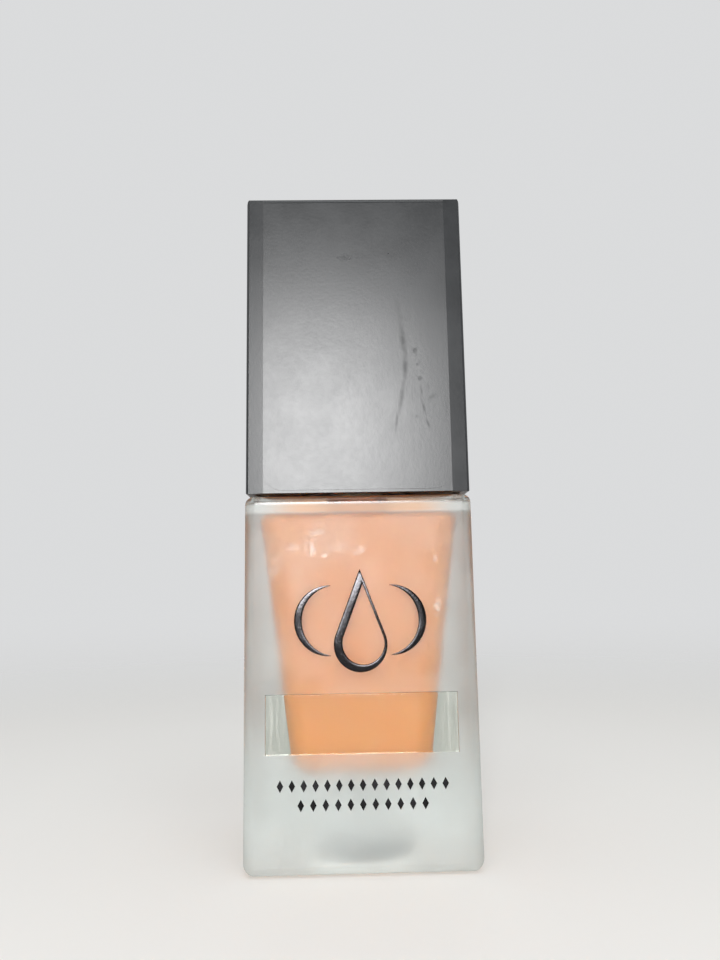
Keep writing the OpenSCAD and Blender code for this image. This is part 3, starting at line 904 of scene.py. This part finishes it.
@dataclass
class GlassBottle(Assembly):
    """The pressed glass bottle, the fluid in its well and the base sticker.

    Most fields are the sizes of the frame's own glass. The rest shape its skin.

    Attributes:
        soft: radius of the small round edges.
        overlap: how far the fluid stands inside the glass, so that no gap shows.
        room: free room round the pump in the fluid.
        thread_step: height between two rings of the thread.
        barrel_gap: how far the pump's barrel stands inside the bore.
        barrel_drop: how far the barrel reaches below its spring.
        level_drops: how far the fluid's top sinks at the barrel and half way.
    """

    outline: Outline = field(default_factory=Outline)
    width: float = 35.0
    depth: float = 27.0
    height: float = 55.0
    edge_r: float = 1.8
    base_r: float = 1.7
    shoulder_r: float = 1.2
    recess_r: float = 9.5
    recess_depth: float = 0.7
    foot_z: float = 12.8
    well_top_z: float = 52.5
    top_walls: Flat = (2.3, 2.3)
    foot_walls: Flat = (6.6, 4.8)
    well_corner_r: float = 3.0
    well_foot_r: float = 4.0
    well_top_r: float = 1.2
    neck_r: float = 7.7
    neck_top_z: float = 65.5
    bore_r: float = 5.0
    thread_start_z: float = 58.4
    thread_pitch: float = 3.175
    thread_depth: float = 1.1
    thread_root: float = 1.6
    thread_crest: float = 0.7
    soft: float = 0.3
    overlap: float = 0.03
    room: float = 0.2
    neck_fillet: float = 0.5
    thread_step: float = 0.2
    barrel_gap: float = 0.8
    barrel_drop: float = 0.7
    tail_r: float = 2.45
    level_drops: Flat = (0.1, 0.25)

    def thread(self, z: float) -> Callable[[float], float]:
        """Gives the neck's radius round the ring at height z, thread included."""

        def radius(angle: float) -> float:
            """Gives the neck's radius at an angle in degrees."""
            middle = self.thread_start_z + self.thread_pitch * angle / 360
            fade = min(1.0, angle / 45, (360 - angle) / 45)
            flank = (self.thread_root - self.thread_crest) / 2
            rise = (self.thread_root / 2 - abs(z - middle)) / flank
            rise = max(0.0, min(1.0, rise))
            return self.neck_r + self.thread_depth * fade * rise * rise * (3 - 2 * rise)

        return radius

    def block(self, inset: float, z: float) -> Ring:
        """Gives the body's outline at a height, drawn in by an inset."""
        width, depth = self.width - 2 * inset, self.depth - 2 * inset
        return self.outline.square(width, depth, self.edge_r - inset, z)

    def cavity(self, walls: Flat, inset: float, corner: float, z: float) -> Ring:
        """Gives the well's outline at a height, drawn in from its walls."""
        width = self.width - 2 * (walls[0] + inset)
        depth = self.depth - 2 * (walls[1] + inset)
        return self.outline.square(width, depth, corner, z)

    def outside(self) -> list[Ring]:
        """Rings from the middle of the base recess up the outside to the lip."""
        o, s = self.outline, self.soft
        rings = [o.round(self.recess_r - s, self.recess_depth)]
        for back, up in quarter(3)[1:]:
            rings.append(o.round(self.recess_r - s + s * up, self.recess_depth - s * back))
        for back, up in quarter(3)[1:]:
            rings.append(o.round(self.recess_r + s * back, s - s * up))
        for back, up in quarter(7):
            rings.append(self.block(self.base_r * (1 - up), self.base_r * back))
        for back, up in quarter(6):
            z = self.height - self.shoulder_r * (1 - up)
            rings.append(self.block(self.shoulder_r * back, z))
        fillet = self.neck_fillet
        for back, up in quarter(4):
            z = self.height + fillet * back
            rings.append(o.round(self.neck_r + fillet * (1 - up), z))
        first, last = self.height + 1.2, self.neck_top_z - 2.2
        for i in range(round((last - first) / self.thread_step) + 1):
            z = first + i * self.thread_step
            rings.append(o.round(self.thread(z), z))
        for back, up in quarter(4):
            rings.append(o.round(self.neck_r - s * back, self.neck_top_z - s * (1 - up)))
        return rings

    def well(self, grow: float) -> list[Ring]:
        """Rings down the well from its ceiling to its floor.

        Args:
            grow: how far they stand outside the glass's own wall.

        Returns:
            The rings, from the top down.
        """
        rings: list[Ring] = []
        for back, up in reversed(quarter(5)):
            inset = self.well_top_r * back - grow
            corner = self.well_corner_r * (1 - 0.7 * back) + grow
            z = self.well_top_z - self.well_top_r * (1 - up) + grow
            rings.append(self.cavity(self.top_walls, inset, corner, z))
        for back, up in reversed(quarter(9)):
            inset = self.well_foot_r * (1 - up) - grow
            corner = self.well_corner_r * (1 - 0.7 * (1 - up)) + grow
            z = self.foot_z + self.well_foot_r * back - grow
            rings.append(self.cavity(self.foot_walls, inset, corner, z))
        return rings

    def inside(self) -> list[Ring]:
        """Rings from the lip down the bore and the well to its floor."""
        o, s = self.outline, self.soft
        top, foot, bore = self.neck_top_z, self.well_top_z, self.bore_r
        lip = [o.round(bore + s * back, top - s * (1 - up)) for back, up in quarter(3)]
        mouth = [o.round(bore + s * back, foot + s * (1 - up)) for back, up in quarter(3)]
        return lip[::-1] + mouth + self.well(0.0)

    def build_glass(self) -> bpy.types.Object:
        """Builds the glass as one closed skin, thread, well and recess included."""
        return loft("pressed_bottle", self.outside() + self.inside())

    def build_fluid(self) -> bpy.types.Object:
        """Builds the fluid a hair larger than its well, less the pump's room."""
        o = self.outline
        bore = self.bore_r + self.overlap
        housing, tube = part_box("pump_housing"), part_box("dip_tube")
        barrel_r = self.bore_r - self.barrel_gap + self.room
        barrel_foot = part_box("return_spring")[0].z / MM - self.barrel_drop
        tail_r, tail_z = self.tail_r + self.room, housing[0].z / MM - self.room
        tube_r, tube_z = tube[1].x / MM + self.room, tube[0].z / MM - self.room
        near, half_way = self.level_drops
        rings = [
            o.round(tube_r, tube_z),
            o.round(tube_r, tail_z),
            o.round(tail_r, tail_z),
            o.round(tail_r, barrel_foot),
            o.round(barrel_r, barrel_foot),
            o.round(barrel_r, self.height - near),
            o.round((barrel_r + bore) / 2, self.height - half_way),
            o.round(bore, self.height),
            o.round(bore, self.well_top_z + self.overlap),
        ]
        return loft("makeup_fill", rings + self.well(self.overlap))

    def build(self) -> None:
        """Builds and dresses the bottle, its fill and its sticker."""
        smears = (
            Mark(-10.1, 47.1, 2.0, 3.0, 0, 0.3),
            Mark(-7.4, 46.8, 3.4, 2.2, -15, 0.5),
            Mark(-5.3, 45.9, 1.3, 1.4, 0, 0.6),
            Mark(0.1, 46.5, 1.6, 2.9, -35, 0.5),
            Mark(-6.6, 49.2, 4.6, 3.4, 30, 0.24),
            Mark(-2.8, 46.9, 2.4, 7.0, 0, 0.14),
            Mark(11.6, 37.8, 3.6, 1.5, 10, 0.4),
            Mark(11.5, 45.2, 2.0, 1.2, 0, 0.26),
            Mark(-12.6, 44.6, 7.0, 2.2, 20, 0.16),
            Mark(13.6, 5.2, 4.4, 1.8, 0, 0.22),
        )
        # Pressed soda-lime glass, acid-etched: a soft milky skin over clear depth.
        etched = EtchedGlass("etched_soda_lime_glass", "d6dcda", 0.6, 1.51, smears=smears)
        # Pigmented emulsion: opaque, creamy, warm beige.
        makeup = LiquidMakeup("foundation_emulsion", "e4924a", 0.35, 1.45)
        # Blank clay-coated paper with a soft sheen.
        paper = CoatedPaper("blank_coated_paper", "efece4", 0.45)
        self.place_piece(
            self.build_glass(), etched.build(), "bottle", "glass_bottle", "frosted_glass"
        )
        self.place_piece(
            self.build_fluid(), makeup.build(), "bottle", "foundation_fluid", "fluid"
        )
        self.dress_node("base_sticker", paper.build())


@dataclass
class FrontDecoration(Assembly):
    """The stamped emblem, the rows of lozenges and the clear label."""

    front_y: float = -13.5
    gap: float = 0.006
    foil_t: float = 0.034
    emblem_z: float = 36.1
    drop_r: float = 4.0
    drop_tip: float = 11.2
    heavy_stroke: float = 1.3
    thin_stroke: float = 0.45
    crescent_r: float = 5.2
    crescent_t: float = 1.15
    emblem_half: float = 9.9
    lozenge: Flat = (0.95, 1.75)
    rows: tuple[tuple[float, float, int], ...] = ((12.6, 25.0, 15), (9.9, 19.0, 11))
    label_size: Flat = (28.4, 8.6)
    label_z: float = 21.2
    label_t: float = 0.04
    edge_share: float = 0.15
    crease_h: float = 0.032
    curl_h: float = 0.06
    plain_share: float = 0.78
    crease_share: float = 0.22
    across: int = 8

    def crowned(
        self, outer: Sequence[Flat], inner: Sequence[Flat], looped: bool
    ) -> tuple[list[Point], list[list[int]]]:
        """Crowns the strip between two lines, thick in the middle.

        Args:
            outer: one edge of the stroke, as (x, z).
            inner: its other edge, point for point.
            looped: whether the stroke closes on itself.

        Returns:
            Points and faces of the closed strip.
        """
        points: list[Point] = []
        floor_y = self.front_y - self.gap
        for (xo, zo), (xi, zi) in zip(outer, inner):
            for k in range(self.across + 1):
                t = k / self.across
                lift = self.foil_t * (1 - (2 * t - 1) ** 4)
                x, z = xo + t * (xi - xo), zo + t * (zi - zo)
                points.append((x, floor_y - lift, z))
            for k in range(self.across - 1, 0, -1):
                t = k / self.across
                points.append((xo + t * (xi - xo), floor_y, zo + t * (zi - zo)))
        ring = 2 * self.across
        count = len(outer)
        faces = bands(0, ring, count, looped)
        if not looped:
            faces.append(list(range(ring)))
            faces.append([ring * (count - 1) + j for j in range(ring)])
        return points, faces

    def drop_line(self, radius: float, tip: float, shift: Flat) -> list[Flat]:
        """Gives the outline of a falling drop.

        Args:
            radius: radius of its round part.
            tip: distance from its middle to its tip.
            shift: its place about the emblem's middle.

        Returns:
            Points round the drop from its tip.
        """
        side_steps, arc_steps = 14, 60
        off = math.acos(radius / tip)
        start, sweep = math.pi / 2 + off, 2 * math.pi - 2 * off
        turns = [start + sweep * i / arc_steps for i in range(arc_steps + 1)]
        arc = [(radius * math.cos(turn), radius * math.sin(turn)) for turn in turns]
        (x0, z0), (x1, z1) = arc[0], arc[-1]
        shares = [i / side_steps for i in range(side_steps)]
        left = [(x0 * t, tip + (z0 - tip) * t) for t in shares]
        right = [(x1 * (1 - t), z1 + (tip - z1) * t) for t in shares[1:]]
        return [(x + shift[0], z + shift[1]) for x, z in left + arc + right]

    def build_emblem(self) -> bpy.types.Object:
        """Builds the drop between its two crescents."""
        sink = self.emblem_z - (self.drop_tip - self.drop_r) / 2
        inner_r = self.drop_r - (self.heavy_stroke + self.thin_stroke) / 2
        lean = (self.heavy_stroke - self.thin_stroke) / 2
        strokes = [
            (
                self.drop_line(self.drop_r, self.drop_tip, (0.0, sink)),
                self.drop_line(
                    inner_r, self.drop_tip * inner_r / self.drop_r, (lean, sink + lean / 2)
                ),
                True,
            )
        ]
        steps, radius = 56, self.crescent_r
        tip_turn = math.acos(-self.crescent_t / 2 / radius)
        for side in (-1, 1):
            middle = side * (self.emblem_half - radius)
            lines: list[list[Flat]] = []
            for reach, shift in ((tip_turn, 0.0), (math.pi - tip_turn, -self.crescent_t)):
                turns = [reach * (2 * i / steps - 1) for i in range(1, steps)]
                lines.append(
                    [
                        (
                            middle + side * (shift + radius * math.cos(turn)),
                            self.emblem_z + radius * math.sin(turn),
                        )
                        for turn in turns
                    ]
                )
            strokes.append((lines[0], lines[1], False))
        points: list[Point] = []
        faces: list[list[int]] = []
        for outer, inner, looped in strokes:
            some, more = self.crowned(outer, inner, looped)
            faces += [[v + len(points) for v in face] for face in more]
            points += some
        return build_mesh("drop_emblem", points, faces)

    def build_rows(self) -> bpy.types.Object:
        """Builds the two rows of faceted lozenges."""
        points: list[Point] = []
        faces: list[list[int]] = []
        width, height = self.lozenge
        levels = ((1.0, 0.0), (0.86, 0.9), (0.3, 1.0))
        floor_y = self.front_y - self.gap
        for row_z, row_w, count in self.rows:
            step = (row_w - width) / (count - 1)
            for i in range(count):
                x = -(row_w - width) / 2 + i * step
                start = len(points)
                for share, lift in levels:
                    y = floor_y - lift * self.foil_t
                    for dx, dz in ((width, 0), (0, height), (-width, 0), (0, -height)):
                        points.append((x + dx / 2 * share, y, row_z + dz / 2 * share))
                faces.append([start + j for j in range(4)])
                faces += bands(start, 4, len(levels))
                faces.append([start + 4 * (len(levels) - 1) + j for j in range(4)])
        piece = build_mesh("lozenge_rules", points, faces)
        piece.modifiers.clear()
        piece.data.shade_flat()
        return piece

    def wrinkle(self, x: float, z: float) -> float:
        """Gives how far the film stands off the glass at a place on it."""
        half_w, half_h = self.label_size[0] / 2, self.label_size[1] / 2
        up = z - self.label_z
        creased = (abs(x) - self.plain_share * half_w) / (self.crease_share * half_w)
        folds = math.sin(5.2 * x + 0.7 * up) * 0.6 + math.sin(9.1 * x - 1.1 * up + 1.3) * 0.4
        curled = max(0.0, (up - half_h + 0.5) / 0.5) * max(0.0, min(1.0, (-x - 3) / 6))
        return self.crease_h * max(0.0, creased) * (1 + folds) + self.curl_h * curled

    def build_label(self) -> bpy.types.Object:
        """Builds the film, wrinkled at its ends and lifting at one edge."""
        steps_x, steps_z = 142, 44
        width, height = self.label_size
        points: list[Point] = []
        for layer in (0, 1):
            for i in range(steps_x + 1):
                for j in range(steps_z + 1):
                    x = width * (i / steps_x - 0.5)
                    z = self.label_z + height * (j / steps_z - 0.5)
                    edge = i in (0, steps_x) or j in (0, steps_z)
                    film = self.label_t * (self.edge_share if edge else 1.0)
                    off = self.gap + self.wrinkle(x, z) + layer * film
                    points.append((x, self.front_y - off, z))
        column = steps_z + 1
        layer_size = (steps_x + 1) * column
        faces: list[list[int]] = []
        for layer in (0, 1):
            base = layer * layer_size
            for i in range(steps_x):
                for j in range(steps_z):
                    a = base + i * column + j
                    faces.append([a, a + column, a + column + 1, a + 1])
        rim = (
            [(i * column, (i + 1) * column) for i in range(steps_x)]
            + [(steps_x * column + j, steps_x * column + j + 1) for j in range(steps_z)]
            + [((i + 1) * column + steps_z, i * column + steps_z) for i in range(steps_x)]
            + [(j + 1, j) for j in range(steps_z)]
        )
        faces += [[a, b, b + layer_size, a + layer_size] for a, b in rim]
        return build_mesh("film_label", points, faces)

    def build(self) -> None:
        """Builds and dresses the emblem, the rules and the label."""
        # Dark chrome hot foil: mirrors lamps white and the rest near black.
        foil = StampedFoil("dark_chrome_hot_foil", "262526", 0.14, None).build()
        # Cast polypropylene film: clear, softly glossy. Its adhesive wets the glass,
        # so its two faces together mirror no more than this lower index does.
        film = ClearFilm("clear_polypropylene_film", "f4f4ee", 0.1, 1.3).build()
        self.place_piece(self.build_emblem(), foil, "bottle", "emblem_foil", "hot_foil")
        self.place_piece(self.build_rows(), foil, "bottle", "rule_foil", "hot_foil")
        self.place_piece(self.build_label(), film, "bottle", "clear_label", "clear_film")


@dataclass
class PumpInsides(Assembly):
    """The housing, valve, spring, piston and tube inside the neck and the well."""

    coil_r: float = 2.11
    wire_r: float = 0.24
    turns: float = 5.5
    stroke: float = 4.5

    def build_spring(self) -> bpy.types.Object:
        """Sweeps the spring's wire along its helix, closed on its end coils."""
        low, high = (corner.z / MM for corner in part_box("return_spring"))
        foot, top = low + self.wire_r, high - self.wire_r
        steps, sides = 40, 14
        closed = 2 * self.wire_r
        last = round(self.turns * steps)
        rings: list[Ring] = []
        for i in range(last + 1):
            turn = i / steps
            a = 2 * math.pi * turn
            share = min(1.0, max(0.0, (turn - 1) / (self.turns - 2)))
            z = (
                foot
                + closed * min(1.0, turn)
                + (top - foot - 2 * closed) * share
                + closed * max(0.0, turn - self.turns + 1)
            )
            ring: Ring = []
            for j in range(sides):
                b = 2 * math.pi * j / sides
                r = self.coil_r + self.wire_r * math.cos(b)
                ring.append((r * math.cos(a), r * math.sin(a), z + self.wire_r * math.sin(b)))
            rings.append(ring)
        return loft("coil_spring", rings)

    def build(self) -> None:
        """Dresses the pump's inner pieces and builds its spring."""
        # Natural polypropylene: milky white, light sinks into it.
        natural = MouldedPlastic(
            "natural_moulded_polypropylene", "eef0ea", 0.32, 1.49,
            surface=MouldSurface.STONED, pale="e2e5dd", milky=0.5,
        ).build()
        # Natural polyethylene of the piston: waxier than its housing.
        waxy = MouldedPlastic(
            "natural_moulded_polyethylene", "f1efe6", 0.42, 1.52,
            surface=MouldSurface.POLISHED, pale="e6e3d6", milky=0.7,
        ).build()
        # Black polypropylene: dense, plain, semi-gloss.
        black = MouldedPlastic(
            "black_moulded_polypropylene", "17181a", 0.34, 1.49,
            surface=MouldSurface.STONED,
        ).build()
        # Drawn stainless wire: bright with fine die marks.
        wire = StainlessSteel("drawn_stainless_wire", "c9cacb", 0.26, None).build()
        # Ground stainless ball: brighter and smoother than the wire.
        ground = StainlessSteel("ground_stainless_ball", "d2d3d4", 0.12, None).build()
        # Extruded natural polyethylene: hazy, half clear.
        tube = ExtrudedTube("extruded_polyethylene", "e9ebe6", 0.3, 1.51).build()
        # Expanded polyethylene sheet: white, matt, finely celled.
        foam = CutFoam("die_cut_polyethylene_foam", "f3f3ef", 0.7).build()
        spring = self.build_spring()
        self.place_piece(spring, wire, "pump", "return_spring", "spring_steel")
        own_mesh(spring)
        for name, material in (
            ("pump_housing", natural),
            ("stem_tube", natural),
            ("piston_core", natural),
            ("piston_seal", waxy),
            ("stem_guide", black),
            ("inlet_ball", ground),
            ("dip_tube", tube),
            ("neck_gasket", foam),
        ):
            self.dress_node(name, material)


@dataclass
class PumpHead(Assembly):
    """The press-down head, its spout insert, and the collar that holds the pump."""

    def build(self) -> None:
        """Dresses the head and the collar."""
        # Gloss black ABS: deep, mirror-like, faintly marked by fingers.
        gloss = MouldedPlastic(
            "gloss_moulded_black_abs", "101113", 0.12, 1.53, surface=MouldSurface.POLISHED,
        ).build()
        # Black polypropylene of the screw collar: plain semi-gloss.
        plain = MouldedPlastic(
            "plain_moulded_black_polypropylene", "18191b", 0.36, 1.49,
            surface=MouldSurface.STONED,
        ).build()
        # Grey-black polypropylene of the nozzle: a shade lighter than the head.
        dull = MouldedPlastic(
            "dull_moulded_polypropylene", "303134", 0.45, 1.49,
            surface=MouldSurface.SPARKED, pale="3a3b3e",
        ).build()
        for name, material in (
            ("actuator", gloss),
            ("nozzle_insert", dull),
            ("screw_collar", plain),
            ("collar_sleeve", gloss),
        ):
            self.dress_node(name, material)


@dataclass
class Overcap(Assembly):
    """The tall square overcap and the liner inside it."""

    def build(self) -> None:
        """Dresses the overcap in worn satin paint, and its liner."""
        scuffs = (
            Mark(6.9, 84.6, 6.2, 1.1, -12, 0.4),
            Mark(7.5, 79.6, 7.4, 1.3, -7, 0.6),
            Mark(7.75, 75.3, 5.6, 1.2, 3, 0.6),
            Mark(7.1, 70.6, 8.0, 1.0, 10, 0.45),
            Mark(6.2, 66.4, 4.2, 0.7, 6, 0.4),
            Mark(9.4, 77.8, 1.1, 0.95, 0, 1.6),
            Mark(10.0, 73.3, 1.0, 0.8, 0, 1.4),
            Mark(9.7, 75.6, 0.7, 0.6, 0, 0.6),
            Mark(10.2, 71.4, 2.2, 0.5, -8, 0.7),
            Mark(10.5, 68.6, 3.6, 0.6, -16, 0.6),
            Mark(11.1, 66.0, 2.8, 0.5, -18, 0.6),
            Mark(12.0, 70.4, 2.6, 1.0, 55, 0.4),
            Mark(11.4, 71.8, 1.4, 0.8, -40, 0.35),
            Mark(-5.8, 97.4, 2.8, 0.6, 5, 0.7),
            Mark(9.3, 67.2, 0.8, 0.6, 30, 0.5),
            Mark(14.0, 68.6, 5.0, 0.3, 0, 0.5),
        )
        smudges = (
            Mark(-1.4, 93.4, 1.6, 4.8, 0, 0.45),
            Mark(5.4, 94.2, 2.0, 3.4, 20, 0.42),
            Mark(1.2, 93.8, 1.6, 7.0, 0, 0.2),
            Mark(10.0, 91.6, 6.0, 4.0, 15, 0.16),
        )
        # ABS sprayed soft satin black: broad sheen, rubbed by handling.
        satin = SatinPaint(
            "sprayed_satin_black_abs", "1a1c1e", 0.3, 1.47, scuffs=scuffs, smudges=smudges
        ).build()
        # Black polypropylene liner: plain, unpainted, spark-eroded mould.
        liner = MouldedPlastic(
            "liner_moulded_black_polypropylene", "1d1e20", 0.4, 1.49,
            surface=MouldSurface.SPARKED,
        ).build()
        self.dress_node("overcap_shell", satin)
        self.dress_node("overcap_liner", liner)


# ---- Studio ----


@dataclass(frozen=True)
class Softbox:
    """A soft square lamp.

    Attributes:
        name: its name.
        place: where it hangs, in metres.
        size: its width and height, in metres.
        radiance: how bright its face is.
    """

    name: str
    place: Point
    size: Flat
    radiance: float

    def hang(self, aim: Point) -> None:
        """Hangs the lamp, turned towards a point in metres."""
        data = bpy.data.lights.new(self.name, "AREA")
        data.shape = "RECTANGLE"
        data.size, data.size_y = self.size
        data.energy = self.radiance * math.pi * self.size[0] * self.size[1]
        lamp = bpy.data.objects.new(self.name, data)
        lamp.location = self.place
        away = [a - p for a, p in zip(aim, self.place)]
        flat = math.hypot(away[0], away[1])
        lamp.rotation_euler = (
            math.pi / 2 + math.atan2(away[2], flat),
            0.0,
            math.atan2(-away[0], away[1]),
        )
        lamp.visible_camera = False
        bpy.context.scene.collection.objects.link(lamp)


@dataclass(frozen=True)
class Studio:
    """The pale floor, the soft lamps, the room's light and the camera.

    Attributes:
        ambient: the room's light in front of the camera.
        dim: the same behind it.
        dim_span: the directions along Y between which it changes.
        backdrop: brightness of what the camera sees behind the bottle.
        floor_radius: radius of the floor, in metres like the sizes below.
        solid: how far out the floor is fully there.
        melted: how far out it has melted into the backdrop.
        floor_z: its height, a hair under the base.
    """

    ambient: float = 0.56
    dim: float = 0.24
    dim_span: Flat = (-0.95, 0.1)
    backdrop: float = 0.78
    floor_radius: float = 1.6
    solid: float = 0.13
    melted: float = 1.0
    floor_z: float = -0.00002
    lamps: tuple[Softbox, ...] = (
        Softbox("key_softbox", (-0.035, -0.60, 0.16), (0.19, 0.26), 30.5),
        Softbox("top_softbox", (0.02, -0.30, 0.75), (0.50, 0.35), 2.6),
        Softbox("back_softbox", (0.05, 0.75, 0.32), (0.60, 0.45), 0.8),
    )
    aim: Point = (0.0, 0.0, 0.05)
    camera_place: Point = (-0.00201, -0.12306, 0.04176)
    camera_tilt: Point = (98.05, 0.97, -1.08)
    lens: float = 27.0

    def lay_floor(self) -> None:
        """Lays a pale disc that melts into the backdrop far away."""
        mesh = bpy.data.meshes.new("floor")
        steps = 96
        turns = [2 * math.pi * i / steps for i in range(steps)]
        mesh.from_pydata(
            [
                (self.floor_radius * math.cos(a), self.floor_radius * math.sin(a), self.floor_z)
                for a in turns
            ],
            [],
            [list(range(steps))],
        )
        floor = bpy.data.objects.new("floor", mesh)
        bpy.context.scene.collection.objects.link(floor)
        material = bpy.data.materials.new("painted_floor")
        graph = Graph.clean(material)
        source = graph.add("TexCoord").outputs["Object"]
        reach = graph.add("VectorMath", {0: source}, operation="LENGTH")
        near = graph.add("Math", {0: 1.0, 1: reach}, operation="DIVIDE")
        limits = {"From Min": 1 / self.melted, "From Max": 1 / self.solid}
        melt = graph.add(
            "MapRange",
            {"Value": near, **limits, "To Min": 1.0, "To Max": 0.0},
            interpolation_type="SMOOTHSTEP",
        )
        # Matt floor paint: no gloss, so no lamp glares on it from behind.
        matt = {"Base Color": linear("ecebe8"), "Roughness": 0.9, "Specular IOR Level": 0.0}
        paint = graph.add("BsdfPrincipled", matt)
        clear = graph.add("BsdfTransparent")
        mixed = graph.add("MixShader", {0: melt, 1: paint, 2: clear})
        graph.add("OutputMaterial", {"Surface": mixed})
        mesh.materials.append(material)

    def light_room(self) -> None:
        """Fills the room with soft light in front of a pale backdrop."""
        world = bpy.data.worlds.new("studio")
        bpy.context.scene.world = world
        graph = Graph.clean(world)
        seen = graph.add("LightPath").outputs["Is Camera Ray"]
        source = graph.add("TexCoord").outputs["Generated"]
        axes = graph.add("SeparateXYZ", {"Vector": source})
        # The room is dimmer behind the camera, so dark gloss stays dark.
        behind, ahead = self.dim_span
        level = graph.add(
            "MapRange",
            {
                "Value": axes.outputs["Y"],
                "From Min": behind,
                "From Max": ahead,
                "To Min": self.dim,
                "To Max": self.ambient,
            },
            interpolation_type="SMOOTHSTEP",
        )
        soft_light = {"Color": linear("f6f7f8"), "Strength": level}
        soft = graph.add("Background", soft_light)
        pale_light = {"Color": linear("f4f5f6"), "Strength": self.backdrop}
        pale = graph.add("Background", pale_light)
        mixed = graph.add("MixShader", {0: seen, 1: soft, 2: pale})
        graph.add("OutputWorld", {"Surface": mixed})

    def set_camera(self) -> None:
        """Stands the camera in front of the bottle, looking slightly up."""
        data = bpy.data.cameras.new("camera")
        data.lens = self.lens
        data.clip_start = 0.005
        camera = bpy.data.objects.new("camera", data)
        camera.location = self.camera_place
        camera.rotation_euler = [math.radians(a) for a in self.camera_tilt]
        bpy.context.scene.collection.objects.link(camera)
        bpy.context.scene.camera = camera

    def build(self) -> None:
        """Sets up the floor, the light and the camera."""
        self.lay_floor()
        self.light_room()
        for lamp in self.lamps:
            lamp.hang(self.aim)
        self.set_camera()
        bpy.context.scene.view_settings.view_transform = "Standard"
        LOG.info("studio: %d lamps", len(self.lamps))


def main() -> None:
    """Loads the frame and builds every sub-assembly."""
    logging.basicConfig(level=logging.INFO, format="%(name)s %(message)s")
    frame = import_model()
    nodes = frame["nodes"]
    Studio().build()
    for assembly in (GlassBottle, FrontDecoration, PumpInsides, PumpHead, Overcap):
        assembly(nodes).build()


if __name__ == "__main__":
    main()
